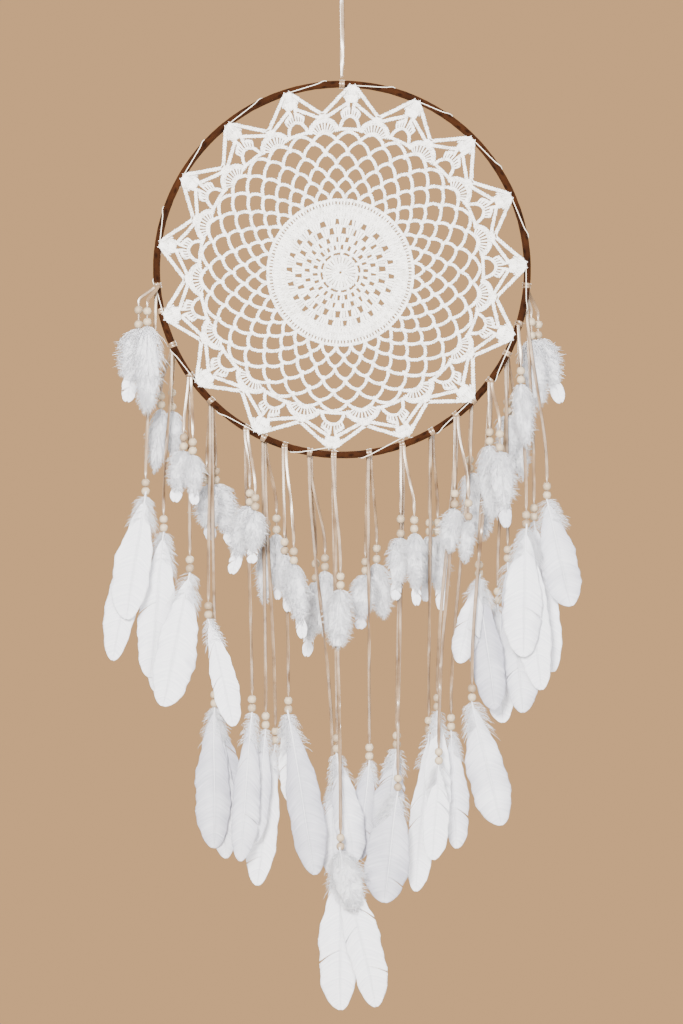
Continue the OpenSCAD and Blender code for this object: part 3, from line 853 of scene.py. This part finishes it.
def lacing():
    """The thread that laces the doily to the hoop: from each point straight across the front of the hoop
    to its outer edge, and back behind it to the next point. Two plies twisted together."""
    rng = np.random.default_rng(9)
    pieces = []
    ways = [laced_at(POINT_STEP * k) for k in range(POINTS)]
    y = TUBE_R + LACE_OFF
    for k in range(POINTS):
        here, there = ways[k], ways[(k + 1) % POINTS] + (360 if k == POINTS - 1 else 0)
        gap = there - here
        edge = here + gap * rng.uniform(0.50, 0.62)
        low = point_reach(here)[0] - 3.0
        knots = [(here, low, -y + 0.9), (here + 0.04 * gap, low + 1.6, -y - 0.1),
                 (edge - 0.14 * gap, RING_R + 1.0, -y), (edge - 0.05 * gap, RING_R + TUBE_R - 0.3, -3.0),
                 (edge, RING_R + TUBE_R + LACE_OFF, 0.0), (edge + 0.05 * gap, RING_R + TUBE_R - 0.3, 3.0),
                 (edge + 0.14 * gap, RING_R + 1.0, y), (there - 0.05 * gap, RING_R - 4.4, y - 1.2)]
        pieces += knots
    a, r, y = np.array(pieces).T
    a = np.radians(a)
    nodes = np.stack([r * np.sin(a), y, HOOP_Z + r * np.cos(a)], 1)
    line = closed_curve(nodes, 9)
    line = evenly(np.concatenate([line, line[:1]]), 0.85)[:-1]
    way = unit(np.roll(line, -1, 0) - np.roll(line, 1, 0))
    hub = unit(line - np.array([0, 0, HOOP_Z]))
    across = unit(np.cross(way, hub))
    out = np.cross(across, way)
    s = along(line)
    turns = round(s[-1] / LACE_LAY)
    spin = (2 * math.pi * turns * s / (s[-1] + 0.85))[:, None] + np.linspace(0, 2 * math.pi, 9)[None, :-1]
    ring = np.linspace(0, 2 * math.pi, 9)[None, :-1] + 0 * spin
    r = LACE_R * (0.84 + 0.16 * np.cos(2 * (ring - spin + ring[:, :1])))
    points = (line[:, None] + across[:, None] * (r * np.cos(ring))[..., None]
              + out[:, None] * (r * np.sin(ring))[..., None])
    points = points.reshape(-1, 3)
    uv = np.zeros((len(points), 2))
    mesh = mesh_of("lacing_twisted", points, outward(points, [grid_faces(len(line), 8, True)]), uv,
                   {"tone": np.full(len(points), 0.6)})
    finished("lacing_twisted", mesh, LACING, "lacing_cotton", "hoop", "lacing_thread")


def closed_curve(nodes, steps):
    """A smooth closed line through points."""
    p0, p1, p2, p3 = np.roll(nodes, 1, 0), nodes, np.roll(nodes, -1, 0), np.roll(nodes, -2, 0)
    t = (np.arange(steps) / steps)[None, :, None]
    line = 0.5 * (2 * p1[:, None] + (p2 - p0)[:, None] * t + (2 * p0 - 5 * p1 + 4 * p2 - p3)[:, None] * t ** 2
                  + (3 * p1 - p0 - 3 * p2 + p3)[:, None] * t ** 3)
    return line.reshape(-1, 3)


# ---------------------------------------------------------------- crochet doily

# Points round the doily's edge and arches in each row of its net, and the angle from one to the next
POINTS, ARCHES = 16, 32
POINT_STEP, ARCH_STEP = 360 / POINTS, 360 / ARCHES
# How far the doily is turned in the hoop and pulled to its sides, in degrees
TURN, PULL = 3.3, 4.6
# A chain's width, the length of one of its stitches, and the depth of the work
CHAIN_W, CHAIN_PITCH, YARN_T = 3.2, 2.7, 2.3
# How far a stitch strays from its place, and how proud a closed round lies
CHAIN_PLAY, POST_PLAY, ROUND_RISE = 0.10, 0.12, 0.25


def laced_at(angle):
    return angle + TURN - PULL * math.sin(math.radians(angle))


def point_reach(angle):
    """How far out a point of the doily reaches, and whether it laps over the hoop's front there."""
    near = min(abs((180 - d[0] - angle + 180) % 360 - 180) for d in DANGLES if d[1] < 0)
    return (190.6, False) if near < 3.0 else (196.2, True)


def on_doily(angle, r, y=0.0):
    """A place on the doily, its angle clockwise from the top, pulled up at its sides and to one side at its
    middle, as it is laced."""
    angle, r, y = np.broadcast_arrays(np.asarray(angle, float), r, y)
    a = np.radians(angle)
    pull = smooth((r - 77) / 73)
    turned_to = a + np.radians(TURN - PULL * np.sin(a) * pull)
    centred = 1 - smooth((r - 110) / 80)
    return np.stack([r * np.sin(turned_to) - 1.6 * centred, y,
                     HOOP_Z + r * np.cos(turned_to) - 3.2 * centred], -1)


FRONT = np.array([0.0, -1.0, 0.0])


class Crochet:
    """Stitches gathered into one piece of the doily."""

    chain_shape = tall_shape = None

    def __init__(self, seed):
        if Crochet.chain_shape is None:
            Crochet.chain_shape, Crochet.tall_shape = chain_stitch(), tall_stitch()
        self.gather, self.rng = Gather(), np.random.default_rng(seed)

    def loose(self, starts, ends, amount):
        """The same stitches, each a little off its place and turned a little."""
        n = len(starts)
        both, one = self.rng.normal(0, amount, (n, 3)), self.rng.normal(0, amount * 0.6, (n, 3))
        fronts = unit(FRONT + self.rng.normal(0, 0.10, (n, 3)))
        return starts + both - one, ends + both + one, fronts

    def chain(self, line, width, pitch, rise=0.0):
        """A chain along a line, lifted off the face of the work by rise."""
        line = evenly(line, pitch)
        starts, ends, fronts = self.loose(line[:-1], line[1:], CHAIN_PLAY)
        starts, ends = starts + FRONT * rise, ends + FRONT * rise
        n = len(starts)
        lay(self.gather, Crochet.chain_shape, starts, ends, fronts, width * self.rng.uniform(0.92, 1.08, n),
            YARN_T * self.rng.uniform(0.9, 1.05, n), self.rng.uniform(0.2, 0.9, n))

    def posts(self, starts, ends, width):
        """Tall stitches, one from each start to its end."""
        starts, ends = np.atleast_2d(starts), np.atleast_2d(ends)
        starts, ends, fronts = self.loose(starts, ends, POST_PLAY)
        n = len(starts)
        lay(self.gather, Crochet.tall_shape, starts, ends, fronts, width * self.rng.uniform(0.92, 1.06, n),
            YARN_T * 1.15, self.rng.uniform(0.2, 0.9, n))

    def ring(self, r, count, width):
        """A closed round of chain that caps a row."""
        a = np.linspace(0, 360, count + 1)
        self.chain(on_doily(a, np.full(count + 1, float(r)), 0.0), width, 2 * math.pi * r / count, ROUND_RISE)

    def done(self, name):
        finished(name, self.gather.mesh(name), COTTON, "white_cotton", "hoop", "crochet_doily")


def doily_centre():
    """The close-worked disc: a rosette, rows of stitches in groups with eyelets between, and a solid band."""
    work = Crochet(31)
    rows = [(1.2, 8.6, 12, 1, 0), (8.6, 17.6, 12, 2, 0), (17.6, 22.6, 12, 1, 0.68), (22.6, 31.0, 22, 2, 0.40),
            (31.0, 39.5, 22, 3, 0.34), (39.5, 49.5, 22, 3, 0.36), (49.5, 58.6, 22, 4, 0.31)]
    for k, (low, high, groups, per, gap) in enumerate(rows):
        step = 360 / groups
        stray = work.rng.normal(0, 0.035, groups) if gap else 0
        first = (np.arange(groups) + 0.5 * (k % 2) + stray)[:, None] * step
        within = ((np.arange(per) + 0.5) / per - 0.5)[None] * step
        foot, head = first + within * (1 - 1.30 * gap), first + within * (1 - 0.55 * gap) + 0.10 * gap * step
        width = min(3.9, math.radians(step * (1 - gap) / per) * (low * 0.35 + high * 0.65) * 1.25)
        work.posts(on_doily(foot.ravel(), low + 0.2), on_doily(head.ravel(), high - 0.2), width)
    for low, high, count, width in ((58.6, 64.7, 132, 4.1), (64.7, 70.8, 143, 4.1), (70.8, 76.9, 132, 3.0)):
        a = np.arange(count) * 360 / count
        work.posts(on_doily(a, low + 0.1), on_doily(a, high), width)
    for r, count in ((4.2, 9), (8.6, 19), (17.4, 38), (22.8, 50), (31.0, 70), (39.5, 90), (49.5, 112),
                     (58.6, 132), (64.7, 143), (70.6, 154), (76.9, 170)):
        work.ring(r, count, 3.0)
    work.done("doily_centre")


NET_RIMS = (76.9, 89.0, 100.7, 113.4, 126.1, 138.9, 148.4)


def doily_net():
    """Six rows of chain arches, each row caught on the tops of the last."""
    work = Crochet(32)
    t = np.linspace(0, math.pi, 25)
    last = len(NET_RIMS) - 2
    for row, (base, top) in enumerate(zip(NET_RIMS[:-1], NET_RIMS[1:])):
        for k in range(ARCHES):
            middle = (k + (0.5 if row % 2 == 0 else 0.0)) * ARCH_STEP
            lift = top - base + work.rng.normal(0, 0.35)
            a = (middle - ARCH_STEP / 2 * np.cos(t) * (1 - 0.04 * np.sin(t) ** 2)
                 + work.rng.normal(0, 0.16) * np.sin(t))
            arch = 0.62 * np.sin(t) ** 0.85 + 0.38 * (1 - np.abs(np.cos(t)) ** 1.15)
            r = base - 0.6 + (lift + 0.6) * arch
            y = work.rng.normal(0, 0.25) * np.sin(t) + 0.35 * np.cos(t)
            work.chain(on_doily(a, r, y), CHAIN_W, CHAIN_PITCH)
            if row < last:
                work.posts(on_doily(middle, top - 2.4), on_doily(middle, top + 1.6), 4.4)
    work.done("doily_net")


def beside(middle, across, r, y=0.0):
    """A place that lies across mm to the right of a column of the doily, at r."""
    r = np.asarray(r, float)
    return on_doily(middle + np.degrees(np.asarray(across, float) / r), r, y)


def lifted(r, lap):
    """How far to the front the crochet comes where it laps over the hoop."""
    r = np.asarray(r, float)
    return -5.3 * smooth((r - 183.0) / 10.5) if lap else -0.6 * smooth((r - 180) / 8)


def doily_shells():
    """Sixteen fans of tall stitches between the points, each on its own arch, with a broad rim."""
    work = Crochet(33)
    for k in range(POINTS):
        middle = POINT_STEP * (k + 0.5)
        f = np.radians(np.linspace(-76, 76, 10))
        work.posts(beside(middle, 8.2 * np.sin(f), 145.8 + 4.4 * np.cos(f)),
                   beside(middle, 14.6 * np.sin(f), 148.0 + 11.0 * np.cos(f)), 2.35)
        f = np.radians(np.linspace(-88, 88, 30))
        work.chain(beside(middle, 14.6 * np.sin(f), 148.0 + 11.6 * np.cos(f)), 3.0, 2.7, 0.15)
        work.chain(beside(middle, 16.6 * np.sin(f), 148.2 + 13.8 * np.cos(f)), 3.0, 2.7, 0.2)
        f = np.radians(np.linspace(-95, 95, 14))
        work.chain(beside(middle, 7.9 * np.sin(f), 145.2 + 4.4 * np.cos(f)), 3.0, 2.6, 0.1)
        across = np.linspace(-4.2, 4.2, 4)
        work.posts(beside(middle, across, 161.4),
                   beside(middle, across * 0.8, 167.0 - np.abs(across) * 0.3), 3.6)
    work.done("doily_shells")


def doily_points():
    """Sixteen points: an arch, a small fan on it, a leaf of stitches at the tip, two arms each side."""
    work = Crochet(34)
    leaf_r, leaf_w = (176.5, 179.0, 183.5, 188.5, 192.5, 196.2), (3.8, 5.8, 7.0, 6.2, 4.4, 1.8)
    for k in range(POINTS):
        middle = POINT_STEP * k
        reach, lap = point_reach(laced_at(middle))

        def at(across, r):
            r = np.where(np.asarray(r) > 176.5, 176.5 + (np.asarray(r) - 176.5) * (reach - 176.5) / 19.7, r)
            return beside(middle, across, r, lifted(r, lap))

        work.chain(at(np.linspace(-13.5, 13.5, 9), np.full(9, 150.6)), 3.2, 2.7)
        f = np.radians(np.linspace(-6, 186, 24))
        work.chain(at(-10.8 * np.cos(f), 150.6 + 13.2 * np.sin(f)), 3.3, 2.7, 0.1)
        g = np.radians(np.array([-46, -34, -21, -8, 8, 21, 34, 46]))
        work.posts(at(11.2 * np.sin(g), 151.0 + 13.4 * np.cos(g)),
                   at(15.2 * np.sin(g), 152.6 + 20.0 * np.cos(g)), 2.5)
        for s in (-1, 1):
            g = np.radians(np.linspace(9, 45, 7))
            work.chain(at(s * 14.6 * np.sin(g), 152.6 + 19.6 * np.cos(g)), 3.2, 2.6, 0.15)
            work.chain(at(s * np.array([2.5, 3.2, 4.2]), np.array([171.4, 174.5, 178.0])), 3.0, 2.4, 0.15)
            share = s * np.array([0.14, 0.46, 0.80])
            low, wide, high = (share * np.interp(r, leaf_r, leaf_w) for r in (177.2, 185.0, 194.8))
            work.posts(at(low, 177.2), at(wide, 185.6), 3.6)
            work.posts(at(wide, 184.8), at(high, 195.0 - 1.2 * np.abs(share)), 3.6)
            r = np.linspace(177.4, 195.6, 9)
            work.chain(at(s * 0.96 * np.interp(r, leaf_r, leaf_w), r), 2.6, 2.5, 0.1)
            work.chain(at(s * np.array([4.4, 7.4, 10.2]), np.array([189.8, 186.6, 183.4])), 3.3, 2.8, 0.1)
            # the outer arm runs from the leaf's side, the inner arm from its foot, both to the fan's head
            t = np.linspace(0, 1, 12)[:, None]
            for out, r, width, ahead, foot in ((4.3, 192.6, 3.7, 10.75, 167.2),
                                               (4.2, 176.9, 3.4, 9.9, 163.2)):
                start, end = at(s * out, r), beside(middle + s * ahead, 0.0, foot)
                line = start * (1 - t) + end * t
                line[:, 1] = start[1] * (1 - smooth(t[:, 0] * 1.4))
                work.chain(line, width, 2.9, 0.1)
    work.done("doily_points")


# ---------------------------------------------------------------- feathers

def goose_half(t, width):
    """Half the width of a goose feather's vane: narrow at the quill, widest low down, round at the tip."""
    c = np.clip(t, 0, 1)
    rise = 0.30 + 0.70 * smooth(c / 0.58)
    fall = np.clip(1 - np.clip((c - 0.60) / 0.40, 0, 1) ** 2.6, 0, 1) ** 0.55
    return np.maximum(0.3, 0.52 * width * rise * fall)


def fluff_half(t, width):
    """Half the width of a plume's downy mass: round at the quill, widest above its middle."""
    return np.maximum(0.6, 0.55 * width * np.sin(np.pi * np.clip(t, 0, 1) ** 0.82) ** 0.55)


def hung(points, base, lean):
    """Points of a feather, made hanging straight down from its quill, leaned and put in place."""
    c, s = math.cos(math.radians(lean)), math.sin(math.radians(lean))
    x, y, z = points[..., 0], points[..., 1], points[..., 2]
    return np.stack([x * c - z * s, y, x * s + z * c], -1) + base


def tapers(gather, lines, half_w, half_t, faces_to, tones):
    """Many closed tapering strands at once: lines is (count, points, 3)."""
    count, n = lines.shape[:2]
    way = unit(np.gradient(lines, axis=1))
    across = unit(np.cross(way, faces_to[:, None]))
    out = np.cross(across, way)
    section = np.array([[-1.0, -0.4], [1.0, -0.4], [0.0, 1.0]])
    m = len(section)
    w, t = half_w[:, :, None, None], half_t[:, :, None, None]
    points = (lines[:, :, None] + across[:, :, None] * section[None, None, :, :1] * w
              + out[:, :, None] * section[None, None, :, 1:] * t)
    side = grid_faces(n, m)
    ends = np.concatenate([fan_faces(range(m), True), fan_faces(range((n - 1) * m, n * m))])
    one = points[0].reshape(-1, 3)
    side, ends = outward(one, [side, ends])
    shift = (np.arange(count) * n * m)[:, None, None] + gather.count
    gather.faces[4].append((side[None] + shift).reshape(-1, 4))
    gather.faces[3].append((ends[None] + shift).reshape(-1, 3))
    gather.points.append(points.reshape(-1, 3))
    u = np.broadcast_to(np.linspace(0, 0.02, n)[None, :, None], (count, n, m))
    v = (np.arange(count) * 0.0031)[:, None, None] + section[None, None, :, 0] * 0.0004
    v = np.broadcast_to(v, (count, n, m))
    gather.uv.append(np.stack([u, v], -1).reshape(-1, 2))
    gather.tone.append(np.repeat(tones, n * m))
    gather.count += count * n * m


def web_of_barbs(vane, rng, hang, shaft_at, length, half, first, end, cup, shade, cuts):
    """Both sides of a vane: a sheet of barbs that run out and down from the shaft, parted at a few places."""
    rough = rng.uniform((14, 0, 40), (24, 6, 70))

    def sheet(hand, low, high, gap_low, gap_high):
        barbs = max(4, int(round((high - low) * length / 1.7)) + 1)
        roots = np.linspace(low, high, barbs)[:, None]
        q = np.linspace(0, 1, 9)[None]
        forward = 0.135 * (1.02 - roots) ** 0.6 * (length / 150.0) ** -0.4
        pull = np.linspace(gap_low, -gap_high, barbs)[:, None] / length
        tip = np.minimum(roots + forward, 0.998)
        at = roots + (tip - roots) * q ** 1.3 + pull * q ** 2
        edge = (1 + 0.045 * np.sin(tip * rough[0] + rough[1] + hand)
                + 0.025 * np.sin(tip * rough[2] + hand * 2.0))
        reach = half(tip, hand) * edge
        x = hand * reach * q ** 0.85
        x = x * (1 + 0.006 * rng.normal(0, 1, (barbs, 1)) * (q > 0.99))
        middle = shaft_at(at)
        wave = 0.35 * np.sin(at * 8.0 + hand * 1.3 + cup) * q
        y = middle[..., 1] + cup * (q ** 1.7) * reach / np.max(reach + 0.01) + wave
        line = np.stack([middle[..., 0] + x, y, middle[..., 2]], -1)
        t = 0.15 * (1 - 0.6 * q)
        top, under = line.copy(), line.copy()
        top[..., 1] -= t
        under[..., 1] += t
        rows, cols = line.shape[:2]
        n = rows * cols
        grid = grid_faces(rows, cols, False, False)
        number = np.arange(n).reshape(rows, cols)
        rim = np.concatenate([number[0, :-1], number[:-1, -1], number[-1, :0:-1], number[:0:-1, 0]])
        wall = np.stack([rim, np.roll(rim, -1), np.roll(rim, -1) + n, rim + n], 1)
        uv = np.stack([np.broadcast_to(x, (rows, cols)) for x in (q * reach, roots * length)], -1)
        uv = np.tile(uv.reshape(-1, 2), (2, 1)) * MM
        # The barbs' tone: each feather's own shade, darkened toward the vane's edges as painted shade where
        # the barbs curl away, lighter toward the tip than at the quill, and changed a little at random from
        # barb to barb
        tone = shade - 0.16 * q ** 2 + 0.12 * (roots - 0.5) + 0.05 * rng.normal(0, 1, (barbs, 1)) * q
        both = np.concatenate([top.reshape(-1, 3), under.reshape(-1, 3)])
        vane.add(hang(both), [grid, grid[:, ::-1] + n, wall[:, ::-1]], uv, np.tile(tone.reshape(-1), 2))

    for hand in (-1, 1):
        partings = rng.uniform(first + 0.12, end - 0.16, rng.choice(cuts))
        parts = np.concatenate([[first], np.sort(partings), [end]])
        gaps = np.concatenate([[0.0], rng.uniform(0.5, 1.5, len(parts) - 2), [0.0]])
        for low, high, gap_low, gap_high in zip(parts[:-1], parts[1:], gaps[:-1], gaps[1:]):
            sheet(hand, low, high, gap_low, gap_high)


def shaft(vane, hang, shaft_at, length, thick_at, end=0.97):
    """The shaft, thick at the quill and hair-thin at the tip, and its quill tucked up into the bead."""
    t = np.concatenate([[-5.0 / length, -2.0 / length], np.linspace(0, end, 24)])
    line = shaft_at(np.maximum(t, 0))
    line[:2, 2] = -length * t[:2]
    thick = thick_at * (1 - np.clip(t, 0, 1)) ** 0.8 + 0.10
    ring = np.linspace(0, 2 * np.pi, 7)[:-1]
    n = len(line)
    points, faces = swept(line, np.tile([1.0, 0, 0], (n, 1)), np.tile([0, 1.0, 0], (n, 1)), thick, thick,
                          np.stack([np.cos(ring), np.sin(ring)], 1))
    vane.add(hang(points), faces, np.zeros((len(points), 2)), 1.0)


def wisps(down, rng, hang, start, end, knee, half_w, faces_to, tone, steps=6):
    """Fine downy barbs, each one curled from its root to its tip."""
    count = len(start)
    q = np.linspace(0, 1, steps)[None, :, None]
    lines = start[:, None] * (1 - q) ** 2 + 2 * knee[:, None] * q * (1 - q) + end[:, None] * q ** 2
    wob, size = rng.uniform(0, FULL_TURN, (count, 1)), rng.uniform(0.2, 0.9, (count, 1))
    lines[..., 0] += size * np.sin(q[..., 0] * 5.5 + wob) * q[..., 0]
    lines[..., 2] += 0.8 * size * np.cos(q[..., 0] * 6.5 + wob) * q[..., 0]
    w = half_w[:, None] * np.sin(np.pi * np.clip(q[..., 0] * 0.88 + 0.08, 0, 1)) ** 0.6 + 0.05
    tapers(down, hang(lines), w, w * 0.5, faces_to, tone)


def long_feather(vane, down, rng, base, length, width, lean, side):
    """A goose feather: two smooth vanes of barbs, a tapering shaft, and down about its quill."""
    bend = rng.uniform(0.03, 0.10) * length * rng.choice([-1.0, 1.0])
    curl = rng.uniform(0.3, 1.4) * rng.choice([-1.0, 1.0])
    cup = rng.uniform(1.2, 2.2) * -side
    wide = (1.04, 0.84) if rng.random() < 0.5 else (0.84, 1.04)
    shade = rng.uniform(0.15, 0.95)

    def shaft_at(t):
        return np.stack([bend * (t ** 2 * (1.5 - t) - 0.35 * t), -curl * t ** 2, -length * t], -1)

    def half(t, hand):
        return goose_half(t, width) * wide[(hand + 1) // 2]

    def hang(points):
        return hung(points, base, lean)

    web_of_barbs(vane, rng, hang, shaft_at, length, half, 0.045, 0.997, cup, shade, (0, 0, 1, 2))
    shaft(vane, hang, shaft_at, length, 0.85)
    count = 220
    root = rng.uniform(0.0, 0.20, count)
    lean_to = rng.choice([-1.0, 1.0])
    hand = np.where(rng.random(count) < 0.72, lean_to, -lean_to)
    reach = rng.uniform(0.35, 1.15, count) * (0.24 + 1.05 * root) * width
    start = shaft_at(root)
    fall = rng.uniform(0.15, 1.1, count)
    end = start + np.stack([hand * reach, rng.uniform(-1.8, 1.8, count), -fall * reach], 1)
    sag = np.stack([hand * 0.12 * reach, rng.normal(0, 0.5, count), 0.22 * reach], 1)
    knee = start * 0.45 + end * 0.55 + sag
    wisps(down, rng, hang, start, end, knee, rng.uniform(0.07, 0.16, count),
          np.tile([0, -1.0, 0], (count, 1)), rng.uniform(0.4, 1.0, count))


def plume(vane, down, rng, base, length, width, lean):
    """A fluffy marabou plume: fine curling barbs all about a downy middle, and on most a small vane at its
    tip.
    """
    tip_share = rng.choice([0.0, 0.26, 0.34])
    body = length * (1 - 0.62 * tip_share)

    def hang(points):
        return hung(points, base, lean)

    rows, cols = 30, 18
    t = np.linspace(0.012, 0.90, rows)[:, None]
    f = np.linspace(0, 2 * np.pi, cols + 1)[None, :-1]
    phases = rng.uniform(0, FULL_TURN, 6)
    lump = (1 + 0.05 * np.sin(3 * f + 8 * t + phases[0]) + 0.05 * np.sin(5 * f - 13 * t + phases[1])
            + 0.03 * np.sin(29 * t + 2 * f + phases[2]) + 0.03 * rng.normal(0, 1, (rows, cols)))
    round_off = np.clip(np.sin(np.pi * t ** 0.85), 0.01, 1) ** 0.25
    wide = fluff_half(t, width) * 0.66 * lump * round_off
    deep = 2.9 * lump * round_off * np.sin(np.pi * np.clip(t, 0.02, 0.98) ** 0.8) ** 0.4
    points = np.stack([wide * np.cos(f), deep * np.sin(f), np.broadcast_to(-body * t, (rows, cols))], -1)
    faces = [grid_faces(rows, cols), fan_faces(range(cols), True),
             fan_faces(range((rows - 1) * cols, rows * cols))]
    uv = np.stack([np.broadcast_to(np.abs(np.cos(f)) * wide, (rows, cols)),
                   np.broadcast_to(t * body + 0.6 * np.abs(np.cos(f)) * wide, (rows, cols))], -1)
    down.add(hang(points.reshape(-1, 3)), faces, uv.reshape(-1, 2) * MM, 0.55)
    # fine barbs, gathered a little into tufts
    tufts, per = 130, 8
    count = tufts * per
    root = np.clip(np.repeat(rng.uniform(-0.02, 0.88, tufts), per) + rng.normal(0, 0.025, count), 0.0, 0.93)
    f = np.repeat(rng.uniform(0, 2 * np.pi, tufts), per) + rng.normal(0, 0.30, count)
    reach = np.repeat(rng.uniform(0.80, 1.08, tufts), per) * rng.uniform(0.72, 1.12, count)
    reach[::7] *= 1.2
    tip = np.minimum(root + rng.uniform(-0.01, 0.24, count) * (1.0 - 0.5 * root), 1.0)
    half = fluff_half(tip, width)
    start = np.stack([0.2 * half * np.cos(f), 1.0 * np.sin(f), -body * root], 1)
    end = np.stack([half * np.cos(f) * reach, 4.4 * np.sin(f) * np.minimum(reach, 1.0), -body * tip], 1)
    knee = np.stack([end[:, 0] * 0.66, end[:, 1] * 0.95, -body * (root + 0.10 * (tip - root))], 1)
    outwards = unit(np.stack([0.6 * np.cos(f), -np.abs(np.sin(f)) - 0.5, 0 * f], 1))
    tone = np.clip(np.repeat(rng.uniform(0.35, 0.95, tufts), per) + rng.normal(0, 0.1, count), 0, 1)
    wisps(down, rng, hang, start, end, knee, rng.uniform(0.13, 0.27, count), outwards, tone, 4)

    def shaft_at(t):
        return np.stack([0 * t, 0 * t, -length * t], -1)

    def half_tip(t, _):
        share = np.clip((t - (1 - 1.6 * tip_share)) / (1.6 * tip_share), 0, 1)
        return 0.23 * width * (0.35 + 0.65 * smooth(share / 0.7)) * np.clip(1 - share ** 5, 0, 1) ** 0.5 + 0.3

    shaft(vane, hang, shaft_at, length, 0.6, 0.96 if tip_share else 0.75)
    if tip_share:
        web_of_barbs(vane, rng, hang, shaft_at, length, half_tip, 1 - 1.6 * tip_share, 0.985, 0.5,
                     rng.uniform(0.3, 0.8), (0, 1, 2))


def feathers():
    for i, (angle, side, short, long) in enumerate(DANGLES):
        tag, knot = f"{i + 1:02d}", knot_point(angle)
        rng = np.random.default_rng(100 + i)
        below = BEAD_R + QUILL_GAP
        vane, down = Gather(), Gather()
        for k, s in enumerate(short):
            base = np.array([knot[0] + s[0], side * (FLUFF_Y + k * FLUFF_PITCH), knot[2] - s[1] - below])
            plume(vane, down, rng, base, s[3], s[4], s[5])
        for k, s in enumerate(long):
            y = SECOND_LONG_Y if k else LONG_Y
            for n, (length, width, lean) in enumerate(s[3]):
                base = np.array([knot[0] + s[0], side * (y + n * GOOSE_PITCH), knot[2] - s[1] - below])
                if length < 80:
                    plume(vane, down, rng, base, length, 1.1 * width, lean)
                else:
                    long_feather(vane, down, rng, base, length, width, lean, side)
        for name, gather, finish in (("goose_feathers", vane, VANE), ("plumes", down, DOWN)):
            finished(f"{name}_{tag}", gather.mesh(f"{name}_{tag}"), finish, "white_feather", f"dangle_{tag}",
                     f"feathers_{tag}")


# ---------------------------------------------------------------- the whole dream catcher

hanging_ribbon()
strands()
add_studio()
strung_beads()
suede_winding()
ribbon_knots()
lacing()
doily_centre()
doily_net()
doily_shells()
doily_points()
feathers()
bpy.data.objects["hoop_core"].data.materials.clear()
bpy.data.objects["hoop_core"].data.materials.append(STEEL)
